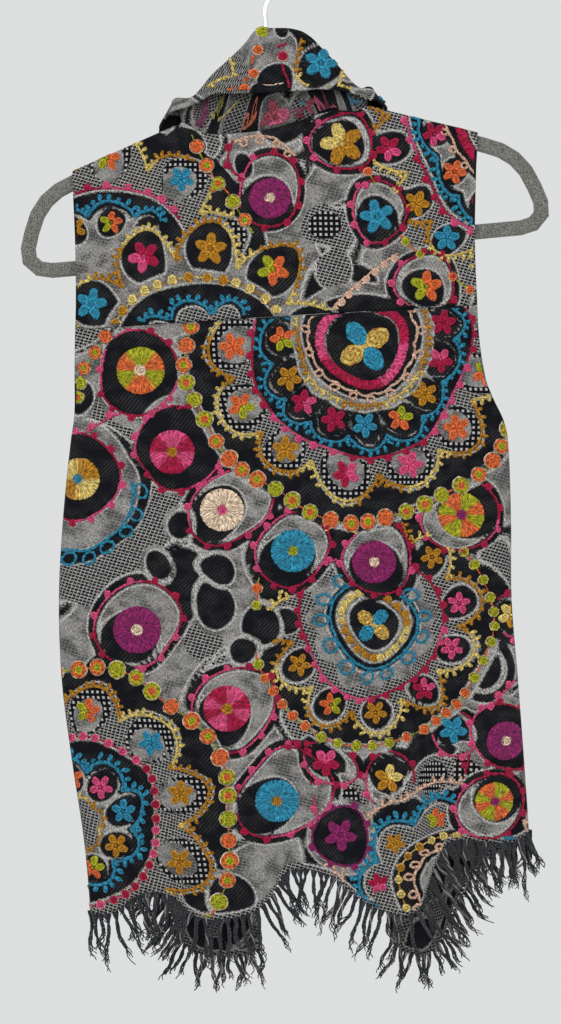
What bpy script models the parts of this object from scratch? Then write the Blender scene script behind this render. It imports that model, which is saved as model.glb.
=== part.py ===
"""A sleeveless open-front vest with a wide turned-down collar and a ravelled hem, on a flocked hanger.

Metres, +Z up. The origin is the inside top of the hanger's hook. The vest's back faces -Y, the wearer's
left is at -X, and the hanger lies in the XZ plane, tipped so that its +X end is the higher one.
"""

import math
from collections import namedtuple

import bmesh
import bpy
from mathutils import Vector

MM = 0.001

# Cloth. At a turned seam two walls meet edge to edge, on both sides of the hanger's plane.
WALL = 1.8 * MM
SEAM_GAP = 0.4 * MM
TURNED_SEAM_HALF = 0.5 * MM
YOKE_SEAM_LEFT = -316 * MM
YOKE_SEAM_RIGHT = -295 * MM

# Hanger
TIP_ANGLE = math.radians(5.2)
RAIL_WIDTH = 12.4 * MM
RAIL_THICK = 6.0 * MM
RAIL_EDGE = 1.9 * MM
RAIL_EDGE_STEPS = 2
WELD = 0.02 * MM
SHOULDER_SLOPE = 0.341
SHOULDER_PEAK = -107.0 * MM
ARM_REST_GAP = 0.45 * MM
ARM_END = 160 * MM
ARM_STEPS = 8
PEAK_ROUNDING = 14 * MM
WIRE_RADIUS = 1.75 * MM
HOOK_INSIDE = 16.5 * MM
STEM_SEAT_DEPTH = 13 * MM
BORE_GAP = 0.3 * MM
BOWL_START = math.radians(-52)
BOWL_END = math.radians(208)
STEM_BEND = 17 * MM
STEM_SWING = 22 * MM

RailPoint = namedtuple("RailPoint", "across up")
HANGER_END = [
    RailPoint(175.0, -176.5),
    RailPoint(187.0, -181.5),
    RailPoint(198.0, -189.5),
    RailPoint(206.5, -200.5),
    RailPoint(212.5, -214.5),
    RailPoint(216.8, -228.0),
    RailPoint(216.4, -238.0),
    RailPoint(209.0, -245.6),
    RailPoint(198.0, -248.1),
    RailPoint(150.0, -248.2),
    RailPoint(75.0, -248.2),
    RailPoint(0.0, -248.2),
]

# How the cloth falls away from the hanger's arms
ARM_HUG = 5.3 * MM
FALL_AWAY = 120 * MM
OVER_ARM_ROUND = 5.6 * MM
OVER_ARM_SQUARENESS = 3.0
SIDE_SQUARENESS = 2.6
OVER_ARM_ROWS = (0.0, 0.5 * MM, 1.7 * MM, 3.6 * MM, 5.8 * MM)

# Neck and front opening, measured along the hanger
NECK_HALF_WIDTH = 78 * MM
FRONT_NECK_HALF_WIDTH = 30 * MM
CENTRE_EDGE_LEFT = (-11 * MM, 0.5 * MM)
CENTRE_EDGE_RIGHT = (49 * MM, 116 * MM)
CENTRE_EDGE_TOP = -207 * MM
CENTRE_EDGE_FOOT = -845 * MM
EDGE_EASE_START = 0.15
EDGE_EASE_SPAN = 0.70

# Fringe
BAND_HEIGHT = 4 * MM
BAND_INSET = 2 * MM
BAND_GAP = 0.6 * MM
FRINGE_SPLAY = 0.55
STEEPEST_SPLAY = 1.4
LOCK_SWAY = 0.10
LOCK_DEPTH_SWAY = 0.05
LOCK_TAPER = (0.62, 0.34)

Fringe = namedtuple("Fringe", "name hem spacing length")
FRINGES = [
    Fringe("back_fringe", "back", 4.8, 38),
    Fringe("front_left_fringe", "front_left", 4.6, 26),
    Fringe("front_right_fringe", "front_right", 4.6, 26),
]

# Columns of cloth in the grids
SHOULDER_COLUMNS = 8
NECK_COLUMNS = 15
FRONT_NECK_COLUMNS = 7
YOKE_ROWS = 6
BACK_ROWS = 19
FRONT_ROWS = 20

Section = namedtuple("Section", "height left right back front edge closed")
BODY = [
    Section(-880, -140.0, 231.0, 21, 23, 0.9, 1.0),
    Section(-800, -143.3, 229.0, 22, 23, 0.9, 1.0),
    Section(-745, -148.3, 227.0, 23, 24, 0.9, 1.0),
    Section(-678, -158.4, 222.5, 23, 24, 0.9, 1.0),
    Section(-610, -167.0, 217.4, 23, 24, 0.9, 1.0),
    Section(-542, -169.4, 212.0, 23, 24, 0.9, 1.0),
    Section(-475, -166.0, 211.5, 23, 24, 0.9, 1.0),
    Section(-408, -159.3, 209.0, 22, 23, 0.9, 1.0),
    Section(-391, -156.5, 204.8, 22, 22, 3.0, 0.6),
    Section(-374, -155.5, 196.4, 21, 21, 5.5, 0.3),
    Section(-357, -155.5, 189.6, 21, 21, 7.5, 0.1),
    Section(-324, -155.0, 184.0, 20, 20, 9.0, 0.0),
    Section(-290, -154.2, 182.0, 18, 18, 9.0, 0.0),
    Section(-240, -155.1, 180.4, 15, 15, 7.5, 0.0),
    Section(-185, -157.6, 181.5, 11, 11, 6.0, 0.0),
    Section(-150, -158.0, 183.0, 9, 9, 5.3, 0.0),
    Section(-110, -158.0, 183.0, 8, 8, 5.3, 0.0),
]

NeckPoint = namedtuple("NeckPoint", "across height")
BACK_NECK = [
    NeckPoint(-78.0, -134.0),
    NeckPoint(-76.3, -134.8),
    NeckPoint(-71.3, -139.0),
    NeckPoint(-62.0, -144.5),
    NeckPoint(-51.0, -147.6),
    NeckPoint(-10.0, -147.6),
    NeckPoint(21.0, -142.3),
    NeckPoint(48.0, -136.8),
    NeckPoint(64.0, -138.0),
    NeckPoint(71.3, -138.6),
    NeckPoint(76.3, -134.8),
    NeckPoint(78.0, -134.0),
]
FRONT_NECK = [
    NeckPoint(30.0, -208.0),
    NeckPoint(42.7, -198.0),
    NeckPoint(53.5, -183.0),
    NeckPoint(62.3, -164.0),
    NeckPoint(69.2, -146.0),
    NeckPoint(74.1, -136.6),
    NeckPoint(77.0, -134.8),
    NeckPoint(78.0, -134.0),
]

HemPoint = namedtuple("HemPoint", "across height")
BACK_HEM = [
    HemPoint(-144, -806),
    HemPoint(-122, -803),
    HemPoint(-104, -789),
    HemPoint(-86, -784),
    HemPoint(-70, -789),
    HemPoint(-56, -802),
    HemPoint(-38, -807),
    HemPoint(-4, -801),
    HemPoint(11, -786),
    HemPoint(20, -769),
    HemPoint(45, -766),
    HemPoint(66, -775),
    HemPoint(86, -791),
    HemPoint(114, -803),
    HemPoint(134, -798),
    HemPoint(145, -767),
    HemPoint(158, -744),
    HemPoint(212, -744),
    HemPoint(229, -736),
]
LEFT_FRONT_HEM = [
    HemPoint(-145, -786),
    HemPoint(-118, -778),
    HemPoint(-93, -784),
    HemPoint(-80, -804),
    HemPoint(-67, -836),
    HemPoint(-50, -846),
    HemPoint(-16, -846),
    HemPoint(2, -840),
]
RIGHT_FRONT_HEM = [
    HemPoint(114, -836),
    HemPoint(126, -845),
    HemPoint(142, -847),
    HemPoint(156, -834),
    HemPoint(168, -800),
    HemPoint(183, -772),
    HemPoint(204, -756),
    HemPoint(230, -748),
]

Fold = namedtuple("Fold", "share half_width depth top foot")
BACK_FOLDS = [
    Fold(-0.62, 0.16, 5.0, -560, -800),
    Fold(-0.18, 0.14, -4.0, -600, -800),
    Fold(0.20, 0.15, 4.5, -540, -790),
    Fold(0.62, 0.13, -6.0, -520, -760),
    Fold(0.84, 0.09, 5.0, -560, -750),
]
FRONT_FOLDS = [
    Fold(-0.66, 0.15, 6.0, -430, -780),
    Fold(-0.30, 0.12, -5.0, -400, -780),
    Fold(0.58, 0.12, 6.0, -420, -760),
    Fold(0.80, 0.11, -6.0, -480, -750),
]

# A station's share runs from the wearer's left front end at -1, round the back at 0, to the right at 1.
# Lengths are in millimetres and angles in degrees. The heading turns the fall away from -Y.
FRONT_SHARE = 0.5
Station = namedtuple("Station", "share stand lean fall flare heading")
COLLAR = [
    Station(-1.000, 10, 20, 60, 26, 120),
    Station(-0.860, 11, 20, 55, 30, 112),
    Station(-0.714, 12, 14, 38, 36, 102),
    Station(-0.571, 13, 6, 20, 40, 92),
    Station(-0.500, 14, 4, 14, 34, 80),
    Station(-0.400, 17, 4, 8, 22, 52),
    Station(-0.306, 24, 3, 5, 16, 30),
    Station(-0.211, 44, 2, 14, 12, 16),
    Station(-0.139, 57, 0, 27, 9, 9),
    Station(-0.078, 69, -1, 40, 8, 4),
    Station(-0.037, 79, -2, 51, 7, 1),
    Station(0.045, 76, -2, 52, 7, 0),
    Station(0.110, 69, -1, 49, 7, -4),
    Station(0.150, 60, 0, 42, 8, -8),
    Station(0.190, 47, 1, 32, 10, -14),
    Station(0.250, 31, 2, 18, 12, -22),
    Station(0.313, 18, 3, 7, 16, -32),
    Station(0.400, 12, 4, 8, 22, -52),
    Station(0.500, 11, 4, 14, 34, -80),
    Station(0.571, 12, 6, 20, 40, -92),
    Station(0.714, 12, 14, 38, 36, -102),
    Station(0.860, 11, 20, 55, 30, -112),
    Station(1.000, 10, 20, 60, 26, -120),
]
STAND_STEPS = 4
TURN_STEPS = 4
FALL_STEPS = 4
TURN_RADIUS = 3.0 * MM
COLLAR_REST = 1.6 * MM
COLLAR_SEAM = 0.9 * MM


def track(rows, column, at):
    """A column of a table at any value of its first column, on a smooth curve through the rows."""
    keys = [row[0] for row in rows]
    values = [getattr(row, column) for row in rows]
    if at <= keys[0]:
        return values[0]
    if at >= keys[-1]:
        return values[-1]
    low = max(k for k in range(len(keys) - 1) if keys[k] <= at)
    span = keys[low + 1] - keys[low]

    def slope(k):
        before = max(k - 1, 0)
        after = min(k + 1, len(keys) - 1)
        return (values[after] - values[before]) / (keys[after] - keys[before])

    t = (at - keys[low]) / span
    return (
        values[low] * (2 * t**3 - 3 * t**2 + 1)
        + slope(low) * span * (t**3 - 2 * t**2 + t)
        + values[low + 1] * (3 * t**2 - 2 * t**3)
        + slope(low + 1) * span * (t**3 - t**2)
    )


def ease(t):
    """0 to 1 with no kink at either end."""
    t = min(max(t, 0.0), 1.0)
    return t * t * (3 - 2 * t)


def hung(across, up):
    """A point of the hanger's plane, given along and up the tipped hanger."""
    return Vector(
        (
            across * math.cos(TIP_ANGLE) - up * math.sin(TIP_ANGLE),
            0,
            across * math.sin(TIP_ANGLE) + up * math.cos(TIP_ANGLE),
        )
    )


def along_hanger(x, z):
    """The same point measured along and up the tipped hanger."""
    return (
        x * math.cos(TIP_ANGLE) + z * math.sin(TIP_ANGLE),
        z * math.cos(TIP_ANGLE) - x * math.sin(TIP_ANGLE),
    )


def roof(across):
    """Height up the hanger of the shoulder line's outer face, with the peak rounded off."""
    return SHOULDER_PEAK - SHOULDER_SLOPE * math.hypot(across, PEAK_ROUNDING)


def below_roof(x, z):
    across, up = along_hanger(x, z)
    return roof(across) - up


def row_at(z, column):
    return track(BODY, column, z / MM) * (1 if column == "closed" else MM)


def middle(z):
    return (row_at(z, "left") + row_at(z, "right")) / 2


def half_width(z):
    return (row_at(z, "right") - row_at(z, "left")) / 2


def share_of(x, z):
    return (x - middle(z)) / half_width(z)


def folds_at(folds, share, z):
    """The soft folds that deepen towards the hem and die out at the side seams."""
    depth = 0.0
    for fold in folds:
        offset = (share - fold.share) / fold.half_width
        grown = ease((fold.top - z / MM) / (fold.top - fold.foot))
        depth += fold.depth * MM * math.exp(-offset * offset) * grown
    return depth * (1 - share**6)


def cloth_depth(x, z, side, folds):
    """How far the outer face of the back or a front stands from the hanger's plane."""
    share = min(max(share_of(x, z), -1.0), 1.0)
    drop = max(below_roof(x, z), 0.0)
    full = ARM_HUG + (row_at(z, side) - ARM_HUG) * ease(drop / FALL_AWAY)
    edge = min(row_at(z, "edge"), full)
    closed = min(max(row_at(z, "closed"), 0.0), 1.0)
    power = 1 + closed * (1 / SIDE_SQUARENESS - 1)
    swell = max(1 - abs(share) ** SIDE_SQUARENESS, 0.0) ** power
    flat = 1 - min(drop / OVER_ARM_ROUND, 1.0)
    over_arm = (1 - flat**OVER_ARM_SQUARENESS) ** (1 / OVER_ARM_SQUARENESS)
    depth = edge + (full - edge) * swell + folds_at(folds, share, z)
    return max(depth * over_arm, TURNED_SEAM_HALF)


def back_point(x, z):
    return Vector((x, -cloth_depth(x, z, "back", BACK_FOLDS), z))


def front_point(x, z):
    return Vector((x, cloth_depth(x, z, "front", FRONT_FOLDS), z))


def settle(x_of_height, height_of_x, start):
    """The height where a column of cloth, which bends as it falls, meets a top or hem line."""
    z = start
    for _ in range(8):
        z = height_of_x(x_of_height(z))
    return z


def shoulder_height(x):
    """The shoulder line's height over a point of the X axis."""
    z = SHOULDER_PEAK
    for _ in range(6):
        across, up = along_hanger(x, z)
        z += roof(across) - up
    return z


def neck_height(x, height_across):
    """The neckline's height over a point of the X axis."""
    z = SHOULDER_PEAK
    for _ in range(6):
        across, up = along_hanger(x, z)
        z += height_across(across / MM) * MM - up
    return z


def neck_corner(side):
    """Where the neckline meets the shoulder line."""
    return hung(side * NECK_HALF_WIDTH, roof(NECK_HALF_WIDTH))


def in_neck(x):
    return neck_corner(-1).x < x < neck_corner(1).x


def back_top(x):
    if not in_neck(x):
        return shoulder_height(x)
    return neck_height(x, lambda across: track(BACK_NECK, "height", across))


def front_top(x):
    if not in_neck(x):
        return shoulder_height(x)
    return neck_height(x, lambda across: track(FRONT_NECK, "height", abs(across)))


def yoke_seam(x):
    left, right = row_at(YOKE_SEAM_LEFT, "left"), row_at(YOKE_SEAM_LEFT, "right")
    return YOKE_SEAM_LEFT + (YOKE_SEAM_RIGHT - YOKE_SEAM_LEFT) * (x - left) / (right - left)


def hem(rows):
    return lambda x: track(rows, "height", x / MM) * MM


def spread(start, end, count, crowd_start=False, crowd_end=False):
    """Values from start to end, closer together at the ends that turn a corner."""
    values = []
    for i in range(count + 1):
        t = i / count
        if crowd_start and crowd_end:
            t = (1 - math.cos(math.pi * t)) / 2
        elif crowd_start:
            t = 1 - math.cos(math.pi * t / 2)
        elif crowd_end:
            t = math.sin(math.pi * t / 2)
        values.append(start + (end - start) * t)
    return values


def column_heights(top, foot, rows, lead):
    """Heights down a column: the lead rows that turn over the arm, then even ones."""
    heights = [top - step for step in lead]
    for i in range(1, rows + 1):
        heights.append(heights[len(lead) - 1] + (foot - heights[len(lead) - 1]) * i / rows)
    return heights


def collection(name):
    group = bpy.data.collections.new(name)
    bpy.context.scene.collection.children.link(group)
    return group


def material(name, colour, roughness, metallic=0.0):
    """A Principled material with its colour in linear values."""
    made = bpy.data.materials.new(name)
    made.use_nodes = True
    shader = made.node_tree.nodes["Principled BSDF"]
    shader.inputs["Base Color"].default_value = (*colour, 1.0)
    shader.inputs["Roughness"].default_value = roughness
    shader.inputs["Metallic"].default_value = metallic
    return made


def place(name, mesh, finish, group):
    thing = bpy.data.objects.new(name, mesh)
    group.objects.link(thing)
    mesh.materials.append(finish)
    return thing


def sheet(name, grid, finish, group, outward):
    """A wall of cloth whose outer face passes through a grid of points."""
    net = bmesh.new()
    rows = [[net.verts.new(point) for point in row] for row in grid]
    for upper, lower in zip(rows, rows[1:]):
        for i in range(len(upper) - 1):
            net.faces.new((upper[i], lower[i], lower[i + 1], upper[i + 1]))
    net.normal_update()
    facing = sum((face.normal for face in net.faces), Vector())
    if facing.dot(Vector(outward)) < 0:
        bmesh.ops.reverse_faces(net, faces=net.faces)
    mesh = bpy.data.meshes.new(name)
    net.to_mesh(mesh)
    net.free()
    mesh.shade_smooth()
    thing = place(name, mesh, finish, group)
    wall = thing.modifiers.new("wall", "SOLIDIFY")
    wall.thickness = WALL
    wall.offset = -1.0
    return thing


def panel_grid(columns, point, top, foot, rows, lead):
    """Rows of points of a panel, each column running from its top line to its hem or seam."""
    drawn = []
    for x_at in columns:
        upper = settle(x_at, top, YOKE_SEAM_RIGHT)
        lower = settle(x_at, foot, YOKE_SEAM_LEFT)
        drawn.append([point(x_at(z), z) for z in column_heights(upper, lower, rows, lead)])
    return [list(row) for row in zip(*drawn)]


def body_columns(shares):
    """Columns that keep their share of the body's width from top to hem."""
    return [lambda z, s=s: middle(z) + half_width(z) * s for s in shares]


def neck_share(side):
    corner = neck_corner(side)
    return share_of(corner.x, corner.z)


def centre_edge(z, side):
    """The open edge of a front, which swings outward as it falls."""
    top, foot = CENTRE_EDGE_LEFT if side < 0 else CENTRE_EDGE_RIGHT
    t = (CENTRE_EDGE_TOP - z) / (CENTRE_EDGE_TOP - CENTRE_EDGE_FOOT)
    return top + (foot - top) * ease(EDGE_EASE_START + EDGE_EASE_SPAN * min(max(t, 0.0), 1.0))


def front_columns(side):
    """Columns of a front, from the side seam past the neck point to the open centre edge."""
    neck = neck_share(side)
    to_neck = spread(side, neck, SHOULDER_COLUMNS, crowd_start=True)
    columns = body_columns(to_neck)
    for i in range(1, FRONT_NECK_COLUMNS + 1):
        t = (i / FRONT_NECK_COLUMNS) ** 2

        def x_at(z, t=t):
            inner = middle(z) + half_width(z) * neck
            return inner + (centre_edge(z, side) - inner) * t

        columns.append(x_at)
    return columns if side < 0 else columns[::-1]


def back_columns():
    left, right = neck_share(-1), neck_share(1)
    shares = spread(-1, left, SHOULDER_COLUMNS, crowd_start=True)
    shares += spread(left, right, NECK_COLUMNS, crowd_start=True, crowd_end=True)[1:]
    shares += spread(right, 1, SHOULDER_COLUMNS, crowd_end=True)[1:]
    return body_columns(shares)


def collar_section(share, neck):
    """One line across the collar: up the stand, over the turn and down the fall."""
    angle = math.radians(track(COLLAR, "heading", share))
    out = Vector((-math.sin(angle), -math.cos(angle), 0))
    lean = math.radians(track(COLLAR, "lean", share))
    flare = math.radians(track(COLLAR, "flare", share))
    up = hung(0, 1)
    rise = up * math.cos(lean) + out * math.sin(lean)
    drop = out * math.sin(flare) - up * math.cos(flare)
    stand = track(COLLAR, "stand", share) * MM
    fall = track(COLLAR, "fall", share) * MM
    base = neck + up * COLLAR_SEAM
    points = [base + rise * stand * i / STAND_STEPS for i in range(STAND_STEPS + 1)]
    crown = points[-1] + out * TURN_RADIUS
    for i in range(1, TURN_STEPS):
        turn = math.pi * i / TURN_STEPS
        points.append(crown + (up * math.sin(turn) - out * math.cos(turn)) * TURN_RADIUS)
    start = crown + out * TURN_RADIUS
    for i in range(FALL_STEPS + 1):
        point = start + drop * fall * i / FALL_STEPS
        points.append(clear_of_body(point, abs(share) > FRONT_SHARE))
    return points


def clear_of_body(point, in_front):
    """A point of the fall, held off the panel that it lies over."""
    clearance = WALL + COLLAR_REST
    if in_front:
        if point.z < front_top(point.x) + clearance:
            face = front_point(point.x, min(point.z, front_top(point.x) - OVER_ARM_ROUND))
            point.y = max(point.y, face.y + clearance)
    elif point.z < back_top(point.x) + clearance:
        face = back_point(point.x, min(point.z, back_top(point.x) - OVER_ARM_ROUND))
        point.y = min(point.y, face.y - clearance)
    return point


def add_collar(neck, finish, group):
    """The collar is one wall lofted through its sections."""
    sections = [collar_section(share, point) for share, point in neck]
    net = bmesh.new()
    rows = [[net.verts.new(point) for point in section] for section in sections]
    for first, second in zip(rows, rows[1:]):
        for i in range(len(first) - 1):
            net.faces.new((first[i], second[i], second[i + 1], first[i + 1]))
    mesh = bpy.data.meshes.new("collar")
    net.to_mesh(mesh)
    net.free()
    mesh.shade_smooth()
    thing = place("collar", mesh, finish, group)
    wall = thing.modifiers.new("wall", "SOLIDIFY")
    wall.thickness = WALL
    wall.offset = 0.0
    return thing


def add_panels(finish, group):
    """The yoke, the back and the two fronts. It returns each hem's line and the line of the neck."""
    back = back_columns()
    yoke = panel_grid(back, back_point, back_top, yoke_seam, YOKE_ROWS, OVER_ARM_ROWS)
    sheet("back_yoke", yoke, finish, group, (0, -1, 0))
    body = panel_grid(back, back_point, below_yoke_seam, hem(BACK_HEM), BACK_ROWS, (0.0,))
    sheet("back_panel", body, finish, group, (0, -1, 0))
    hems = {"back": body[-1]}
    tops = {}
    for side, name, rows in ((-1, "front_left", LEFT_FRONT_HEM), (1, "front_right", RIGHT_FRONT_HEM)):
        front = panel_grid(front_columns(side), front_point, front_top, hem(rows), FRONT_ROWS, OVER_ARM_ROWS)
        sheet(name, front, finish, group, (0, 1, 0))
        hems[name] = front[-1]
        tops[side] = front[0]
    left_neck = tops[-1][:SHOULDER_COLUMNS:-1]
    right_neck = tops[1][:FRONT_NECK_COLUMNS]
    back_neck = yoke[0][SHOULDER_COLUMNS : SHOULDER_COLUMNS + NECK_COLUMNS + 1]
    return hems, neckline(left_neck, back_neck, right_neck)


def neckline(left_front, back, right_front):
    """Points round the neck with their shares. Each front's points start from its centre edge."""
    step = (1 - FRONT_SHARE) / len(left_front)
    left = [(-1 + step * i, point) for i, point in enumerate(left_front)]
    right = [(1 - step * i, point) for i, point in enumerate(right_front)]
    behind = []
    for point in back:
        across, _ = along_hanger(point.x, point.z)
        turned = math.asin(min(max(across / NECK_HALF_WIDTH, -1.0), 1.0))
        behind.append((turned / math.pi, point))
    return left + behind + right[::-1]


def below_yoke_seam(x):
    return yoke_seam(x) - SEAM_GAP


def point_on(line, x):
    """The point of a hem's line over a place on the X axis."""
    after = next((i for i in range(1, len(line) - 1) if line[i].x > x), len(line) - 1)
    start, end = line[after - 1], line[after]
    return start.lerp(end, (x - start.x) / (end.x - start.x))


def lock_edges(line, spacing):
    """Places along X that part one lock from the next. Each corner of the hem's line is among them."""
    places = [line[0].x + BAND_INSET]
    for end in line[1:]:
        target = min(end.x, line[-1].x - BAND_INSET)
        count = max(1, round((target - places[-1]) / spacing))
        places += [places[-1] + (target - places[-1]) * i / count for i in range(1, count + 1)]
    return places


def add_fringe(name, line, spacing, length, finish, group):
    """A ravelled hem: a narrow band just under the cloth's edge, and locks of yarn that hang from it."""
    toward_inside = -1 if line[len(line) // 2].y > 0 else 1

    def ring_at(x):
        run = (point_on(line, x + BAND_INSET) - point_on(line, x - BAND_INSET)).normalized()
        down = (run * run.z - Vector((0, 0, 1))).normalized()
        inward = Vector((-run.y, run.x, 0)).normalized() * toward_inside * WALL
        top = point_on(line, x) + down * BAND_GAP
        low = top + down * BAND_HEIGHT
        return (top, low, low + inward, top + inward)

    net = bmesh.new()
    rings = [[net.verts.new(point) for point in ring_at(x)] for x in lock_edges(line, spacing)]
    roots = []
    for first, second in zip(rings, rings[1:]):
        for k in range(4):
            after = (k + 1) % 4
            face = net.faces.new((first[k], second[k], second[after], first[after]))
            if k == 1:
                roots.append(face)
    net.faces.new(rings[0])
    net.faces.new(rings[-1][::-1])
    bmesh.ops.recalc_face_normals(net, faces=net.faces)
    if net.calc_volume(signed=True) < 0:
        bmesh.ops.reverse_faces(net, faces=net.faces)
    for i, root in enumerate(roots):
        uneven = 1 + 0.20 * math.sin(2.4 * i) + 0.12 * math.sin(5.1 * i)
        hang_lock(net, root, line, length * uneven, i)
    mesh = bpy.data.meshes.new(name)
    net.to_mesh(mesh)
    net.free()
    return place(name, mesh, finish, group)


def hang_lock(net, root, line, length, number):
    """A lock of yarn drawn down from one face of the band, thinner and swaying as it goes."""
    centre = root.calc_center_median()
    run = point_on(line, centre.x + BAND_INSET) - point_on(line, centre.x - BAND_INSET)
    splay = max(min(run.z / run.x, STEEPEST_SPLAY), -STEEPEST_SPLAY) * FRINGE_SPLAY
    sway = LOCK_SWAY * math.sin(1.7 * number)
    direction = Vector((splay + sway, LOCK_DEPTH_SWAY * math.sin(3.3 * number), -1)).normalized()
    face = root
    size = 1.0
    for step, taper in enumerate(LOCK_TAPER, start=1):
        face = bmesh.ops.extrude_discrete_faces(net, faces=[face])["faces"][0]
        drawn_from = face.calc_center_median()
        goal = centre + direction * length * step / len(LOCK_TAPER)
        for vert in face.verts:
            vert.co = goal + (vert.co - drawn_from) * taper / size
        size = taper


def add_fringes(hems, finish, group):
    for fringe in FRINGES:
        add_fringe(fringe.name, hems[fringe.hem], fringe.spacing * MM, fringe.length * MM, finish, group)


def hanger_centreline():
    """The hanger's loop from its peak down the +X arm, round the end and back along the bar to the middle."""
    drop = WALL + ARM_REST_GAP + RAIL_WIDTH / 2
    sheer = math.hypot(1, SHOULDER_SLOPE)
    places = [ARM_END * i / ARM_STEPS for i in range(ARM_STEPS + 1)]
    arm = [Vector((across, roof(across) - drop * sheer)) for across in places]
    return arm + [Vector((point.across * MM, point.up * MM)) for point in HANGER_END]


def hanger_loop():
    """The whole closed centreline, both halves."""
    half = hanger_centreline()
    return half + [Vector((-point.x, point.y)) for point in half[-2:0:-1]]


def closed_line(name, points, group):
    """A closed flat curve through the points, in straight pieces."""
    curve = bpy.data.curves.new(name, "CURVE")
    curve.dimensions = "2D"
    curve.fill_mode = "NONE"
    spline = curve.splines.new("POLY")
    spline.points.add(len(points) - 1)
    for knot, point in zip(spline.points, points):
        knot.co = (point.x, point.y, 0, 1)
    spline.use_cyclic_u = True
    drawn = bpy.data.objects.new(name, curve)
    group.objects.link(drawn)
    return drawn


def rail_profile():
    """The rail's section: a rectangle with rounded corners, its width across the curve."""
    half_width_in = RAIL_WIDTH / 2 - RAIL_EDGE
    half_thick_in = RAIL_THICK / 2 - RAIL_EDGE
    points = []
    for quarter, (sx, sy) in enumerate(((1, 1), (-1, 1), (-1, -1), (1, -1))):
        for step in range(RAIL_EDGE_STEPS + 1):
            angle = math.pi / 2 * (quarter + step / RAIL_EDGE_STEPS)
            corner = Vector((sx * half_width_in, sy * half_thick_in))
            points.append(corner + RAIL_EDGE * Vector((math.cos(angle), math.sin(angle))))
    return points


def add_hanger(finish, group, cutters):
    """The hanger is a flat rail with rounded edges, bored at its peak for the hook's stem."""
    profile = closed_line("rail_profile", rail_profile(), group)
    drawn = closed_line("hanger_drawn", hanger_loop(), group)
    drawn.data.bevel_mode = "OBJECT"
    drawn.data.bevel_object = profile
    drawn.rotation_euler = (math.pi / 2, -TIP_ANGLE, 0)
    bpy.context.view_layer.update()
    shape = drawn.evaluated_get(bpy.context.evaluated_depsgraph_get())
    mesh = bpy.data.meshes.new_from_object(shape)
    mesh.name = "hanger"
    welded = bmesh.new()
    welded.from_mesh(mesh)
    bmesh.ops.remove_doubles(welded, verts=welded.verts, dist=WELD)
    bmesh.ops.recalc_face_normals(welded, faces=welded.faces)
    welded.to_mesh(mesh)
    welded.free()
    mesh.materials.clear()
    hanger = place("hanger", mesh, finish, group)
    hanger.matrix_world = drawn.matrix_world
    bpy.data.objects.remove(drawn)
    bpy.data.objects.remove(profile)

    bpy.ops.mesh.primitive_cylinder_add(
        vertices=16,
        radius=WIRE_RADIUS + BORE_GAP,
        depth=2 * STEM_SEAT_DEPTH,
        location=hung(0, peak_top()),
        rotation=(0, -TIP_ANGLE, 0),
    )
    bore = bpy.context.object
    bore.name = "stem_bore"
    for holder in list(bore.users_collection):
        holder.objects.unlink(bore)
    cutters.objects.link(bore)
    bore.hide_render = True
    bore.display_type = "WIRE"
    cut = hanger.modifiers.new("stem_bore", "BOOLEAN")
    cut.object = bore
    cut.operation = "DIFFERENCE"
    return hanger


def peak_top():
    """Height up the hanger of the rail's upper edge at its peak."""
    return hanger_centreline()[0].y + RAIL_WIDTH / 2


def hook_route():
    """The hook's wire: up the stem, sideways into the bowl, over the top and down to the open tip."""
    radius = HOOK_INSIDE + WIRE_RADIUS
    centre = Vector((0, -HOOK_INSIDE))

    def on_bowl(angle):
        return centre + Vector((math.cos(angle), math.sin(angle))) * radius

    join = on_bowl(BOWL_START)
    foot = Vector((0, peak_top() - STEM_SEAT_DEPTH + BORE_GAP))
    bend = Vector((0, join.y - STEM_BEND))
    leave = Vector((0, STEM_SWING))
    arrive = Vector((-math.sin(BOWL_START), math.cos(BOWL_START))) * STEM_SWING
    route = [foot.lerp(bend, i / 3) for i in range(3)]
    for i in range(7):
        t = i / 7
        route.append(
            bend * (2 * t**3 - 3 * t**2 + 1)
            + leave * (t**3 - 2 * t**2 + t)
            + join * (3 * t**2 - 2 * t**3)
            + arrive * (t**3 - t**2)
        )
    route += [on_bowl(BOWL_START + (BOWL_END - BOWL_START) * i / 22) for i in range(23)]
    return [hung(point.x, point.y) for point in route]


def add_hook(finish, group):
    curve = bpy.data.curves.new("hanger_hook", "CURVE")
    curve.dimensions = "3D"
    curve.bevel_depth = WIRE_RADIUS
    curve.bevel_resolution = 2
    curve.use_fill_caps = True
    spline = curve.splines.new("POLY")
    route = hook_route()
    spline.points.add(len(route) - 1)
    for knot, point in zip(spline.points, route):
        knot.co = (*point, 1)
    hook = bpy.data.objects.new("hanger_hook", curve)
    curve.materials.append(finish)
    group.objects.link(hook)
    return hook


def main():
    for thing in list(bpy.data.objects):
        bpy.data.objects.remove(thing)
    vest = collection("vest_on_hanger")
    cutters = collection("cutters")
    cloth = material("jacquard_cloth", (0.115, 0.113, 0.118), 0.9)
    yarn = material("ravelled_yarn", (0.018, 0.019, 0.026), 0.92)
    flock = material("grey_flock", (0.175, 0.170, 0.160), 0.95)
    steel = material("plated_steel", (0.72, 0.73, 0.74), 0.2, 1.0)
    hems, neck = add_panels(cloth, vest)
    add_collar(neck, cloth, vest)
    add_fringes(hems, yarn, vest)
    add_hanger(flock, vest, cutters)
    add_hook(steel, vest)


main()
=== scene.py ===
"""The looks of a sleeveless open-front vest of embroidered jacquard cloth, hung on a flocked hanger.

The cloth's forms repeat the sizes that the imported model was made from. Pattern and surface sizes are in
millimetres until a mesh is made. The vest's back faces -Y and the hanger lies in the XZ plane.
"""

import math
from collections import namedtuple

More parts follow.
